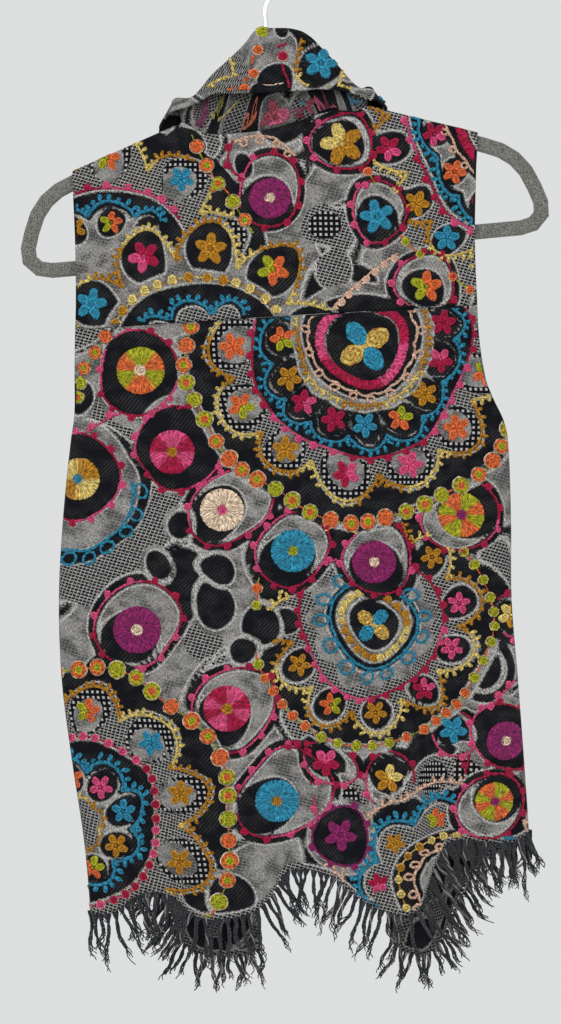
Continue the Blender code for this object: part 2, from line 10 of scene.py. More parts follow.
import bpy
import numpy as np
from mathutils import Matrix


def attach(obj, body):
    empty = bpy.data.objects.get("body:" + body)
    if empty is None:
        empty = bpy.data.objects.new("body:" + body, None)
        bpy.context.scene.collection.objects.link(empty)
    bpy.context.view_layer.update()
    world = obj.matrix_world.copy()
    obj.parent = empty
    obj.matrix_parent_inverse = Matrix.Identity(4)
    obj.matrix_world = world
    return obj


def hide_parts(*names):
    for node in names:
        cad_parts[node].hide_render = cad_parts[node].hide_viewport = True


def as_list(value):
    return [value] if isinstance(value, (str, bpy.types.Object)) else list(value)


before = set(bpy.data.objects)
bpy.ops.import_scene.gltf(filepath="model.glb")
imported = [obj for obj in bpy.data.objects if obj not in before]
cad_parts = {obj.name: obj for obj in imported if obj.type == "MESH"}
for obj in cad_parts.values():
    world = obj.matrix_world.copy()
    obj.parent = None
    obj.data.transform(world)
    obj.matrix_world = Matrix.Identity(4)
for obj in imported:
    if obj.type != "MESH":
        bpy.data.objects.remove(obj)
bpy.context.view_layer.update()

MM = 0.001

# Half the gap at a side seam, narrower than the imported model's, so that no light shows through
TURNED_SEAM_HALF = 0.1
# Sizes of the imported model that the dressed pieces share
WALL = 1.8
SEAM_GAP = 0.4
YOKE_SEAM_LEFT = -316.0
YOKE_SEAM_RIGHT = -295.0
TIP_ANGLE = math.radians(5.2)
SHOULDER_SLOPE = 0.341
SHOULDER_PEAK = -107.0
PEAK_ROUNDING = 14.0
ARM_HUG = 5.3
FALL_AWAY = 120.0
OVER_ARM_ROUND = 5.6
OVER_ARM_SQUARENESS = 3.0
SIDE_SQUARENESS = 2.6
NECK_HALF_WIDTH = 78.0
CENTRE_EDGE_LEFT = (-11.0, 0.5)
CENTRE_EDGE_RIGHT = (49.0, 116.0)
CENTRE_EDGE_TOP = -207.0
CENTRE_EDGE_FOOT = -845.0
EDGE_EASE_START = 0.15
EDGE_EASE_SPAN = 0.70

Section = namedtuple("Section", "height left right back front edge closed")
BODY = [
    Section(-880, -140.0, 231.0, 21, 23, 0.9, 1.0),
    Section(-800, -143.3, 229.0, 22, 23, 0.9, 1.0),
    Section(-745, -148.3, 227.0, 23, 24, 0.9, 1.0),
    Section(-678, -158.4, 222.5, 23, 24, 0.9, 1.0),
    Section(-610, -167.0, 217.4, 23, 24, 0.9, 1.0),
    Section(-542, -169.4, 212.0, 23, 24, 0.9, 1.0),
    Section(-475, -166.0, 211.5, 23, 24, 0.9, 1.0),
    Section(-408, -159.3, 209.0, 22, 23, 0.9, 1.0),
    Section(-391, -156.5, 204.8, 22, 22, 3.0, 0.6),
    Section(-374, -155.5, 196.4, 21, 21, 5.5, 0.3),
    Section(-357, -155.5, 189.6, 21, 21, 7.5, 0.1),
    Section(-324, -155.0, 184.0, 20, 20, 9.0, 0.0),
    Section(-290, -154.2, 182.0, 18, 18, 9.0, 0.0),
    Section(-240, -155.1, 180.4, 15, 15, 7.5, 0.0),
    Section(-185, -157.6, 181.5, 11, 11, 6.0, 0.0),
    Section(-150, -158.0, 183.0, 9, 9, 5.3, 0.0),
    Section(-110, -158.0, 183.0, 8, 8, 5.3, 0.0),
]

NeckPoint = namedtuple("NeckPoint", "across height")
BACK_NECK = [
    NeckPoint(-78.0, -134.0),
    NeckPoint(-76.3, -134.8),
    NeckPoint(-71.3, -139.0),
    NeckPoint(-62.0, -144.5),
    NeckPoint(-51.0, -147.6),
    NeckPoint(-10.0, -147.6),
    NeckPoint(21.0, -142.3),
    NeckPoint(48.0, -136.8),
    NeckPoint(64.0, -138.0),
    NeckPoint(71.3, -138.6),
    NeckPoint(76.3, -134.8),
    NeckPoint(78.0, -134.0),
]
FRONT_NECK = [
    NeckPoint(30.0, -208.0),
    NeckPoint(42.7, -198.0),
    NeckPoint(53.5, -183.0),
    NeckPoint(62.3, -164.0),
    NeckPoint(69.2, -146.0),
    NeckPoint(74.1, -136.6),
    NeckPoint(77.0, -134.8),
    NeckPoint(78.0, -134.0),
]

HemPoint = namedtuple("HemPoint", "across height")
BACK_HEM = [
    HemPoint(-144, -806),
    HemPoint(-122, -803),
    HemPoint(-104, -789),
    HemPoint(-86, -784),
    HemPoint(-70, -789),
    HemPoint(-56, -802),
    HemPoint(-38, -807),
    HemPoint(-4, -801),
    HemPoint(11, -786),
    HemPoint(20, -769),
    HemPoint(45, -766),
    HemPoint(66, -775),
    HemPoint(86, -791),
    HemPoint(114, -803),
    HemPoint(134, -798),
    HemPoint(145, -767),
    HemPoint(158, -744),
    HemPoint(212, -744),
    HemPoint(229, -736),
]
LEFT_FRONT_HEM = [
    HemPoint(-145, -786),
    HemPoint(-118, -778),
    HemPoint(-93, -784),
    HemPoint(-80, -804),
    HemPoint(-67, -836),
    HemPoint(-50, -846),
    HemPoint(-16, -846),
    HemPoint(2, -840),
]
RIGHT_FRONT_HEM = [
    HemPoint(114, -836),
    HemPoint(126, -845),
    HemPoint(142, -847),
    HemPoint(156, -834),
    HemPoint(168, -800),
    HemPoint(183, -772),
    HemPoint(204, -756),
    HemPoint(230, -748),
]

Fold = namedtuple("Fold", "share half_width depth top foot")
BACK_FOLDS = [
    Fold(-0.62, 0.16, 5.0, -560, -800),
    Fold(-0.18, 0.14, -4.0, -600, -800),
    Fold(0.20, 0.15, 4.5, -540, -790),
    Fold(0.62, 0.13, -6.0, -520, -760),
    Fold(0.84, 0.09, 5.0, -560, -750),
]
FRONT_FOLDS = [
    Fold(-0.66, 0.15, 6.0, -430, -780),
    Fold(-0.30, 0.12, -5.0, -400, -780),
    Fold(0.58, 0.12, 6.0, -420, -760),
    Fold(0.80, 0.11, -6.0, -480, -750),
]

FRONT_SHARE = 0.5
Station = namedtuple("Station", "share stand lean fall flare heading")
COLLAR = [
    Station(-1.000, 10, 20, 60, 26, 120),
    Station(-0.860, 11, 20, 55, 30, 112),
    Station(-0.714, 12, 14, 38, 36, 102),
    Station(-0.571, 13, 6, 20, 40, 92),
    Station(-0.500, 14, 4, 14, 34, 80),
    Station(-0.400, 17, 4, 8, 22, 52),
    Station(-0.306, 24, 3, 5, 16, 30),
    Station(-0.211, 44, 2, 14, 12, 16),
    Station(-0.139, 57, 0, 27, 9, 9),
    Station(-0.078, 69, -1, 40, 8, 4),
    Station(-0.037, 79, -2, 51, 7, 1),
    Station(0.045, 76, -2, 52, 7, 0),
    Station(0.110, 69, -1, 49, 7, -4),
    Station(0.150, 60, 0, 42, 8, -8),
    Station(0.190, 47, 1, 32, 10, -14),
    Station(0.250, 31, 2, 18, 12, -22),
    Station(0.313, 18, 3, 7, 16, -32),
    Station(0.400, 12, 4, 8, 22, -52),
    Station(0.500, 11, 4, 14, 34, -80),
    Station(0.571, 12, 6, 20, 40, -92),
    Station(0.714, 12, 14, 38, 36, -102),
    Station(0.860, 11, 20, 55, 30, -112),
    Station(1.000, 10, 20, 60, 26, -120),
]
TURN_RADIUS = 3.0
COLLAR_REST = 1.6
COLLAR_SEAM = 0.9
TUCK_DEPTH = 3.0
TUCK_INSIDE = 3.0
# The tuck begins this far in front of or behind the hanger's plane, and is whole after this span
TUCK_START = 1.2
TUCK_SPAN = 3.0

# Spacing of the dressed cloth's points
CLOTH_STEP = 3.1
OVER_ARM_DROPS = (0.0, 0.35, 1.1, 2.3, 3.9, 5.8, 8.2)

# Creases and puckers grow over this drop below the shoulder, and over this share of the width at each side
FINE_DROP = 26.0
FINE_SIDE = 0.07

# Creases of hung cloth: soft troughs (below 0) and ridges along a line, each with its own depth and width
Crease = namedtuple("Crease", "x z to_x to_z depth half_width")
BACK_CREASES = [
    Crease(-150, -402, -92, -446, -2.4, 9),
    Crease(-152, -425, -96, -500, 1.8, 11),
    Crease(205, -418, 150, -470, -2.6, 10),
    Crease(207, -446, 158, -532, 1.9, 12),
    Crease(-60, -160, -92, -262, 1.2, 13),
    Crease(92, -150, 128, -262, 1.3, 14),
    Crease(20, -345, 44, -520, -1.3, 16),
    Crease(-70, -520, -84, -700, 1.6, 15),
    Crease(118, -540, 126, -742, -1.8, 13),
    Crease(-20, -640, -14, -790, -2.0, 12),
    Crease(190, -560, 182, -730, 2.0, 11),
    Crease(40, -590, 52, -752, 1.7, 12),
]
FRONT_CREASES = [
    Crease(-150, -402, -98, -452, -2.4, 9),
    Crease(203, -416, 150, -462, -2.4, 10),
    Crease(-70, -180, -90, -330, 1.6, 14),
    Crease(92, -178, 120, -340, 1.6, 14),
    Crease(-40, -360, -62, -560, -2.0, 15),
    Crease(150, -400, 140, -600, 2.2, 14),
    Crease(-110, -560, -118, -745, 2.0, 12),
    Crease(-30, -560, -34, -800, 1.8, 13),
    Crease(178, -560, 172, -740, -2.2, 12),
    Crease(120, -620, 130, -815, 1.9, 12),
]


def curve(t, start, leaving, end, arriving):
    """A smooth way from start to end as t goes 0 to 1, with the slopes it leaves and arrives by."""
    return (
        start * (2 * t**3 - 3 * t**2 + 1)
        + leaving * (t**3 - 2 * t**2 + t)
        + end * (3 * t**2 - 2 * t**3)
        + arriving * (t**3 - t**2)
    )


def track(rows, column, at):
    """A column of a table at any values of its first column, on a smooth curve through the rows."""
    keys = np.array([row[0] for row in rows], float)
    values = np.array([getattr(row, column) for row in rows], float)
    slopes = np.gradient(values)
    slopes[1:-1] = (values[2:] - values[:-2]) / (keys[2:] - keys[:-2])
    slopes[0] = (values[1] - values[0]) / (keys[1] - keys[0])
    slopes[-1] = (values[-1] - values[-2]) / (keys[-1] - keys[-2])
    at = np.clip(np.asarray(at, float), keys[0], keys[-1])
    low = np.clip(np.searchsorted(keys, at, side="right") - 1, 0, len(keys) - 2)
    span = keys[low + 1] - keys[low]
    t = (at - keys[low]) / span
    return curve(t, values[low], slopes[low] * span, values[low + 1], slopes[low + 1] * span)


def ease(t):
    """0 to 1 with no kink at either end."""
    t = np.clip(t, 0.0, 1.0)
    return t * t * (3 - 2 * t)


def unit(vectors):
    """Vectors of length one."""
    return vectors / np.maximum(np.linalg.norm(vectors, axis=-1, keepdims=True), 1e-9)


def hung(across, up):
    """Points of the hanger's plane, given along and up the tipped hanger."""
    across, up = np.broadcast_arrays(np.asarray(across, float), np.asarray(up, float))
    x = across * math.cos(TIP_ANGLE) - up * math.sin(TIP_ANGLE)
    z = across * math.sin(TIP_ANGLE) + up * math.cos(TIP_ANGLE)
    return np.stack([x, np.zeros_like(x), z], axis=-1)


def along_hanger(x, z):
    """Points of the XZ plane measured along and up the tipped hanger."""
    across = x * math.cos(TIP_ANGLE) + z * math.sin(TIP_ANGLE)
    up = z * math.cos(TIP_ANGLE) - x * math.sin(TIP_ANGLE)
    return across, up


def roof(across):
    """Height up the hanger of the shoulder line's outer face, with the peak rounded off."""
    return SHOULDER_PEAK - SHOULDER_SLOPE * np.hypot(across, PEAK_ROUNDING)


def middle(z):
    return (track(BODY, "left", z) + track(BODY, "right", z)) / 2


def half_width(z):
    return (track(BODY, "right", z) - track(BODY, "left", z)) / 2


def share_of(x, z):
    return (x - middle(z)) / half_width(z)


def folds_at(folds, share, z):
    """The soft folds that deepen towards the hem and die out at the side seams."""
    depth = np.zeros_like(share)
    for fold in folds:
        offset = (share - fold.share) / fold.half_width
        depth += fold.depth * np.exp(-offset * offset) * ease((fold.top - z) / (fold.top - fold.foot))
    return depth * (1 - share**6)


def creases_at(creases, x, z):
    """Creases that swell from nothing at one end to their depth and die out again, a little wavy."""
    depth = np.zeros_like(x)
    for number, crease in enumerate(creases):
        run = np.array([crease.to_x - crease.x, crease.to_z - crease.z], float)
        length = np.hypot(*run)
        run /= length
        along = ((x - crease.x) * run[0] + (z - crease.z) * run[1]) / length
        waver = 0.35 * crease.half_width * np.sin(7.0 * along + number)
        off = (-(x - crease.x) * run[1] + (z - crease.z) * run[0] - waver) / crease.half_width
        uneven = 0.8 + 0.2 * np.sin(9 * along + 2 * number)
        grown = ease(4 * (along + 0.1)) * ease(4 * (1.1 - along)) * uneven
        depth += crease.depth * np.exp(-off * off) * grown
    return depth


def puckers_at(x, z):
    """The slight unevenness of cloth that stitches draw in."""
    return 0.22 * np.sin(x / 7.3 + 1.6 * np.sin(z / 19.0)) * np.sin(z / 8.9 + 1.3 * np.sin(x / 23.0))


def cloth_depth(x, z, side, folds):
    """How far the outer face of the back or a front stands from the hanger's plane."""
    share = np.clip(share_of(x, z), -1.0, 1.0)
    across, up = along_hanger(x, z)
    drop = np.maximum(roof(across) - up, 0.0)
    full = ARM_HUG + (track(BODY, side, z) - ARM_HUG) * ease(drop / FALL_AWAY)
    edge = np.minimum(track(BODY, "edge", z), full)
    closed = np.clip(track(BODY, "closed", z), 0.0, 1.0)
    power = 1 + closed * (1 / SIDE_SQUARENESS - 1)
    swell = np.maximum(1 - np.abs(share) ** SIDE_SQUARENESS, 0.0) ** power
    flat = 1 - np.minimum(drop / OVER_ARM_ROUND, 1.0)
    over_arm = (1 - flat**OVER_ARM_SQUARENESS) ** (1 / OVER_ARM_SQUARENESS)
    depth = edge + (full - edge) * swell + folds_at(folds, share, z)
    fine = creases_at(BACK_CREASES if side == "back" else FRONT_CREASES, x, z) + puckers_at(x, z)
    fine = fine * ease(drop / FINE_DROP) * ease((1 - np.abs(share)) / FINE_SIDE)
    return np.maximum(depth * over_arm, TURNED_SEAM_HALF) + fine


def back_face(x, z):
    return np.stack([x, -cloth_depth(x, z, "back", BACK_FOLDS), z], axis=-1)


def front_face(x, z):
    return np.stack([x, cloth_depth(x, z, "front", FRONT_FOLDS), z], axis=-1)


def height_over(x, height_across):
    """Where a line that is given along the hanger lies over points of the X axis."""
    z = np.full_like(np.asarray(x, float), SHOULDER_PEAK)
    for _ in range(6):
        across, up = along_hanger(x, z)
        z = z + height_across(across) - up
    return z


NECK_CORNERS = hung(np.array([-NECK_HALF_WIDTH, NECK_HALF_WIDTH]), roof(NECK_HALF_WIDTH))


def top_line(x, neck):
    """The shoulder and neck line over points of the X axis."""
    in_neck = (x > NECK_CORNERS[0, 0]) & (x < NECK_CORNERS[1, 0])
    return np.where(in_neck, height_over(x, neck), height_over(x, roof))


def back_top(x):
    return top_line(x, lambda across: track(BACK_NECK, "height", across))


def front_top(x):
    return top_line(x, lambda across: track(FRONT_NECK, "height", np.abs(across)))


def yoke_seam(x):
    left = track(BODY, "left", YOKE_SEAM_LEFT)
    right = track(BODY, "right", YOKE_SEAM_LEFT)
    return YOKE_SEAM_LEFT + (YOKE_SEAM_RIGHT - YOKE_SEAM_LEFT) * (x - left) / (right - left)


def below_yoke_seam(x):
    return yoke_seam(x) - SEAM_GAP


def back_hem(x):
    return track(BACK_HEM, "height", x)


def left_front_hem(x):
    return track(LEFT_FRONT_HEM, "height", x)


def right_front_hem(x):
    return track(RIGHT_FRONT_HEM, "height", x)


def centre_edge(z, side):
    """The open edge of a front, which swings outward as it falls."""
    top, foot = CENTRE_EDGE_LEFT if side < 0 else CENTRE_EDGE_RIGHT
    t = np.clip((CENTRE_EDGE_TOP - z) / (CENTRE_EDGE_TOP - CENTRE_EDGE_FOOT), 0.0, 1.0)
    return top + (foot - top) * ease(EDGE_EASE_START + EDGE_EASE_SPAN * t)


def neck_share(side):
    corner = NECK_CORNERS[0 if side < 0 else 1]
    return float(share_of(corner[0], corner[2]))


def even(start, end, step, crowd_start=False, crowd_end=False):
    """Values about a step apart, closer together at the ends that turn a corner."""
    count = max(2, round(abs(end - start) / step))
    t = np.linspace(0, 1, count + 1)
    if crowd_start and crowd_end:
        t = 0.5 * t + 0.5 * (1 - np.cos(np.pi * t)) / 2
    elif crowd_start:
        t = 0.4 * t + 0.6 * (1 - np.cos(np.pi * t / 2))
    elif crowd_end:
        t = 0.4 * t + 0.6 * np.sin(np.pi * t / 2)
    return start + (end - start) * t


def back_column(share, z):
    return middle(z) + half_width(z) * share


def front_column(place, z, side):
    """A front's columns: 0 to 1 from the side seam to the neck point, 1 to 2 on to the centre edge."""
    neck = neck_share(side)
    inner = middle(z) + half_width(z) * neck
    outer = middle(z) + half_width(z) * (side + (neck - side) * place)
    return np.where(place <= 1, outer, inner + (centre_edge(z, side) - inner) * (place - 1))


def panel(columns, column_at, face, top, foot, over_arm):
    """Rows of a panel's points, each column running from its top line to its hem or seam."""
    high = np.full(len(columns), YOKE_SEAM_RIGHT)
    low = np.full(len(columns), YOKE_SEAM_LEFT)
    for _ in range(8):
        high = top(column_at(columns, high))
        low = foot(column_at(columns, low))
    lead = np.array(OVER_ARM_DROPS if over_arm else (0.0,))
    rows = max(4, round(np.max(high - low - lead[-1]) / CLOTH_STEP))
    t = np.linspace(0, 1, rows + 1)[1:, None]
    start = high - lead[-1]
    heights = np.concatenate([high - lead[:, None], start + (low - start) * t])
    x = column_at(np.broadcast_to(columns, heights.shape), heights)
    return face(x, heights)


def mesh_of(name, points, faces, smooth=True):
    """A mesh from millimetre points and rows of corner numbers."""
    mesh = bpy.data.meshes.new(name)
    faces = np.asarray(faces)
    mesh.vertices.add(len(points))
    mesh.vertices.foreach_set("co", (np.asarray(points) * MM).astype(np.float32).ravel())
    mesh.loops.add(faces.size)
    mesh.loops.foreach_set("vertex_index", faces.astype(np.int32).ravel())
    mesh.polygons.add(len(faces))
    mesh.polygons.foreach_set("loop_start", np.arange(0, faces.size, faces.shape[1], dtype=np.int32))
    mesh.update(calc_edges=True)
    mesh.validate()
    if smooth:
        mesh.shade_smooth()
    return mesh


def grid_faces(rows, columns, wrap=False, flip=False):
    """Corner numbers of a grid's quads, with its last column joined to its first if it wraps."""
    across = columns if wrap else columns - 1
    r, c = np.meshgrid(np.arange(rows - 1), np.arange(across), indexing="ij")
    after = (c + 1) % columns
    here, below = r * columns, (r + 1) * columns
    quads = np.stack([here + c, below + c, below + after, here + after], -1).reshape(-1, 4)
    return quads[:, ::-1] if flip else quads


def unwrap(mesh, name, places):
    """Gives a mesh a UV map from a flat place for each of its points."""
    corners = np.empty(len(mesh.loops), np.int32)
    mesh.loops.foreach_get("vertex_index", corners)
    layer = mesh.uv_layers.new(name=name)
    layer.data.foreach_set("uv", places[corners].astype(np.float32).ravel())


def dye_points(mesh, colours):
    """Gives each point of a mesh its thread colour, as the attribute "dye"."""
    dye = mesh.color_attributes.new("dye", "FLOAT_COLOR", "POINT")
    opaque = np.concatenate([colours, np.ones((len(colours), 1))], axis=1)
    dye.data.foreach_set("color", opaque.astype(np.float32).ravel())


def place(name, mesh, materials):
    thing = bpy.data.objects.new(name, mesh)
    bpy.context.scene.collection.objects.link(thing)
    for finish in materials:
        mesh.materials.append(finish)
    return thing


def flat_lengths(grid):
    """Distances along the rows and down the columns of a grid, from its middle column and top row."""
    across = np.linalg.norm(np.diff(grid, axis=1), axis=-1)
    across = np.concatenate([np.zeros((len(grid), 1)), np.cumsum(across, axis=1)], axis=1)
    across -= across[:, [grid.shape[1] // 2]]
    down = np.linalg.norm(np.diff(grid, axis=0), axis=-1)
    down = np.concatenate([np.zeros((1, grid.shape[1])), np.cumsum(down, axis=0)], axis=0)
    return across, down


def cut_size(grid):
    """Width, length and area in metres of the flat piece that a grid of cloth was cut as."""
    across, down = flat_lengths(grid)
    sides = np.diff(grid, axis=0)[:, :-1], np.diff(grid, axis=1)[:-1]
    area = np.linalg.norm(np.cross(sides[0], sides[1]), axis=-1).sum()
    width = (across[:, -1] - across[:, 0]).max()
    return width * MM, down[-1].max() * MM, area * MM * MM


def cloth_piece(name, node_name, grid, outward, zones, finishes, upright):
    """A thin shell of cloth over a grid: its right side faces out, its wrong side in.

    An upright panel's grid is its outer face. The collar's grid is the middle of its wall.
    """
    normals = np.cross(np.gradient(grid, axis=1), np.gradient(grid, axis=0))
    flip = float((normals * outward).sum()) > 0
    rows, columns = grid.shape[:2]
    mesh = mesh_of(name, grid.reshape(-1, 3), grid_faces(rows, columns, flip=flip))
    across, down = flat_lengths(grid)
    if upright:
        down = -grid[..., 2]
    unwrap(mesh, "weave", np.stack([across.ravel(), -down.ravel()], axis=-1))
    for channel, values in zones.items():
        layer = mesh.attributes.new(channel, "FLOAT", "POINT")
        layer.data.foreach_set("value", values.astype(np.float32).ravel())
    piece = place(name, mesh, finishes)
    wall = piece.modifiers.new("wall", "SOLIDIFY")
    wall.thickness = WALL * MM
    wall.offset = -1.0 if upright else 0.0
    wall.material_offset = 1
    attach(piece, "root")
    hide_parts(node_name)
    return piece


# Thread and yarn colours, as sRGB hex
THREADS = {
    "teal": "2e97bb",
    "crimson": "b80c44",
    "pink": "ea5286",
    "purple": "962068",
    "gold": "c88a1c",
    "pale": "f2d67a",
    "lime": "b4b61e",
    "orange": "ee7038",
    "peach": "f6c8ac",
    "cream": "ffe2c4",
    "stone": "cdb79c",
}
BLACK_YARN = "0d0e13"
WHITE_YARN = "dedbd6"


def linear(colour):
    """An sRGB hex colour as linear red, green, blue and a full alpha."""
    values = [int(colour[k : k + 2], 16) / 255 for k in (0, 2, 4)]
    return tuple(v / 12.92 if v <= 0.04045 else ((v + 0.055) / 1.055) ** 2.4 for v in values) + (1.0,)


def fill(tree, made, inputs):
    """Fills a node's inputs, each with a value or with the output of an earlier node."""
    for key, value in inputs.items():
        if isinstance(value, bpy.types.NodeSocket):
            tree.links.new(value, made.inputs[key])
        else:
            made.inputs[key].default_value = value


def node(tree, kind, inputs=None, **settings):
    """Adds a node with its settings and inputs."""
    made = tree.nodes.new(kind)
    for name, value in settings.items():
        setattr(made, name, value)
    fill(tree, made, inputs or {})
    return made


def new_material(name):
    """A material with its shader and an empty tree of pattern nodes."""
    made = bpy.data.materials.new(name)
    made.use_nodes = True
    return made, made.node_tree, made.node_tree.nodes["Principled BSDF"]


def sums(tree):
    """Short ways to add arithmetic to a tree: an operation, and a value mapped from one span to another."""

    def maths(operation, *values):
        return node(tree, "ShaderNodeMath", dict(enumerate(values)), operation=operation).outputs[0]

    def between(value, low, high, least=0.0, most=1.0):
        return node(tree, "ShaderNodeMapRange", {0: value, 1: low, 2: high, 3: least, 4: most}).outputs[0]

    return maths, between


# Weave of the cloth, in millimetres. The real yarn is about 0.5 mm, drawn coarser so that it shows.
YARN_ACROSS = 0.7
YARN_ALONG = 2.3
TWILL_PITCH = 3.4
CHECK_PITCH = 4.6
EDGE_STEP = 0.8
# Black floats of the hatched ground: their spacing along a row, the rows, and how both of them slant
FLOAT_PITCH = 3.6
FLOAT_ROWS = 2.7
ROW_SLANT = 0.25
COLUMN_SLANT = -0.42
# Share of light yarn that shows on each woven ground
MARL_LEAST = 0.11
MARL_MOST = 0.45
TWILL_MOST = 0.44
FADED_TWILL = 0.6
BLACK_TWILL = 0.008
# Half the soft edge between two grounds, and the light yarns that frame black weave: their place and extent
EDGE_BLUR = 0.25
RIM_AT = 1.3
RIM_OUTER = 0.75
RIM_INNER = 0.45
# Share of light yarn kept on the wrong side: a duller weave, and also painted shade, as on the stand under
# the collar's fall
WRONG_SIDE_AND_SHADE_CONTRAST = 0.55


def jacquard(name, contrast):
    """Woollen jacquard: matt, hairy yarns in speckled marl, diagonal twill, checks and plain black."""
    made, tree, shader = new_material(name)
    maths, between = sums(tree)
    flat = node(tree, "ShaderNodeUVMap", uv_map="weave").outputs[0]

    def noise(scale, turn, detail):
        turned = {"Vector": flat, "Scale": scale, "Rotation": (0, 0, turn)}
        laid = node(tree, "ShaderNodeMapping", turned).outputs[0]
        return node(tree, "ShaderNodeTexNoise", {"Vector": laid, "Scale": 1.0, "Detail": detail}).outputs[0]

    parts = node(tree, "ShaderNodeSeparateXYZ", {0: flat})
    across, down = parts.outputs[0], parts.outputs[1]
    slub = noise((1 / YARN_ALONG, 1 / YARN_ACROSS, 1), 0.0, 1.0)
    cross_slub = noise((1 / YARN_ACROSS, 1 / YARN_ALONG, 1), 0.5, 1.0)
    cloudy = noise((0.05, 0.07, 1), 0.0, 2.0)
    yarns = maths("MULTIPLY", maths("ADD", slub, cross_slub), 0.5)
    speckle = between(yarns, 0.37, 0.63, MARL_LEAST, MARL_MOST)
    marl = maths("MULTIPLY", speckle, between(cloudy, 0.32, 0.68, 0.62, 1.24))

    diagonal = maths("DIVIDE", maths("SUBTRACT", across, down), TWILL_PITCH)
    diagonal = maths("FRACT", maths("ADD", diagonal, maths("MULTIPLY", yarns, 0.9)))
    rib = between(maths("PINGPONG", diagonal, 0.5), 0.20, 0.34)

    def floats(along, slanted, slant, pitch, low, high):
        place_on = maths("DIVIDE", maths("ADD", along, maths("MULTIPLY", slanted, slant)), pitch)
        place_on = maths("ADD", place_on, maths("MULTIPLY", maths("SUBTRACT", slub, 0.5), 0.5))
        return between(maths("PINGPONG", place_on, 0.5), low, high)

    black_float = maths(
        "MULTIPLY",
        floats(across, down, COLUMN_SLANT, FLOAT_PITCH, 0.05, 0.15),
        floats(down, across, ROW_SLANT, FLOAT_ROWS, 0.09, 0.21),
    )
    fading = between(cloudy, 0.42, 0.52, FADED_TWILL, 0.0)
    faded = maths("SUBTRACT", 1.0, maths("MULTIPLY", black_float, fading))
    marl = maths("MULTIPLY", marl, faded)
    twill = maths("SUBTRACT", 1.0, black_float)
    twill = maths("MULTIPLY", twill, between(cross_slub, 0.35, 0.65, 0.45 * TWILL_MOST, 1.3 * TWILL_MOST))

    def spot(along):
        return between(maths("PINGPONG", maths("DIVIDE", along, CHECK_PITCH), 0.5), 0.24, 0.30)

    check = maths("MULTIPLY", spot(across), spot(down))
    check = maths("MULTIPLY", check, between(slub, 0.3, 0.6, 0.22, 0.72))
    ragged = maths("MULTIPLY", maths("SUBTRACT", slub, 0.5), 2.4 * EDGE_STEP)

    def inside(channel):
        distance = node(tree, "ShaderNodeAttribute", attribute_name=channel).outputs["Fac"]
        distance = maths("ADD", distance, ragged)
        return distance, between(distance, EDGE_BLUR, -EDGE_BLUR)

    def blend(share, first, second):
        return node(tree, "ShaderNodeMix", {0: share, 2: first, 3: second}, data_type="FLOAT").outputs[0]

    dark_distance, dark = inside("dark")
    light = blend(inside("twill")[1], marl, twill)
    light = blend(inside("check")[1], light, check)
    hairs = maths("MULTIPLY", between(slub, 0.5, 0.8), BLACK_TWILL)
    faint = maths("ADD", maths("MULTIPLY", rib, BLACK_TWILL), hairs)
    faint = maths("MULTIPLY", faint, between(cloudy, 0.42, 0.62, 0.4, 3.4))
    light = blend(dark, light, faint)
    rim = between(maths("ABSOLUTE", maths("SUBTRACT", dark_distance, RIM_AT)), RIM_OUTER, RIM_INNER)
    light = maths("MAXIMUM", light, maths("MULTIPLY", rim, between(cross_slub, 0.4, 0.6, 0.2, 0.75)))
    # On the wrong side less light yarn shows: a duller weave, and painted shade
    light = maths("MULTIPLY", light, contrast)
    colour = node(
        tree,
        "ShaderNodeMix",
        {0: light, 6: linear(BLACK_YARN), 7: linear(WHITE_YARN)},
        data_type="RGBA",
    ).outputs[2]
    height = maths("ADD", maths("MULTIPLY", yarns, 0.9), maths("MULTIPLY", rib, 0.25))
    bump = node(tree, "ShaderNodeBump", {"Height": height, "Strength": 0.7, "Distance": 0.0008}).outputs[0]
    fill(tree, shader, {"Base Color": colour, "Normal": bump, "Roughness": 0.9})
    fill(tree, shader, {"Sheen Weight": 0.01, "Sheen Roughness": 0.5, "Specular IOR Level": 0.07})
    return made


def flocked_plastic():
    """Velvet flock on a plastic rail: matt grey with a fine salt-and-pepper speckle and a soft edge sheen."""
    made, tree, shader = new_material("flocked_plastic")
    place_at = node(tree, "ShaderNodeTexCoord").outputs["Object"]
    fibre = node(tree, "ShaderNodeTexNoise", {"Vector": place_at, "Scale": 1100.0, "Detail": 2.0}).outputs[0]
    shade = node(tree, "ShaderNodeValToRGB", {0: fibre})
    shade.color_ramp.elements[0].position = 0.38
    shade.color_ramp.elements[0].color = linear("434340")
    shade.color_ramp.elements[1].position = 0.66
    shade.color_ramp.elements[1].color = linear("85837c")
    bump = node(tree, "ShaderNodeBump", {"Height": fibre, "Strength": 0.5, "Distance": 0.0004}).outputs[0]
    fill(tree, shader, {"Base Color": shade.outputs[0], "Normal": bump})
    fill(tree, shader, {"Roughness": 0.95, "Sheen Weight": 0.35, "Specular IOR Level": 0.2})
    return made


def chromed_wire():
    """Chrome-plated steel wire: mirror bright, with faint drawing marks in its roughness."""
    made, tree, shader = new_material("chromed_wire")
    place_at = node(tree, "ShaderNodeTexCoord").outputs["Object"]
    marks = node(tree, "ShaderNodeTexNoise", {"Vector": place_at, "Scale": 400.0, "Detail": 3.0}).outputs[0]
    rough = node(tree, "ShaderNodeMapRange", {0: marks, 3: 0.08, 4: 0.22}).outputs[0]
    fill(tree, shader, {"Base Color": linear("d6d8da"), "Metallic": 1.0, "Roughness": rough})
    return made


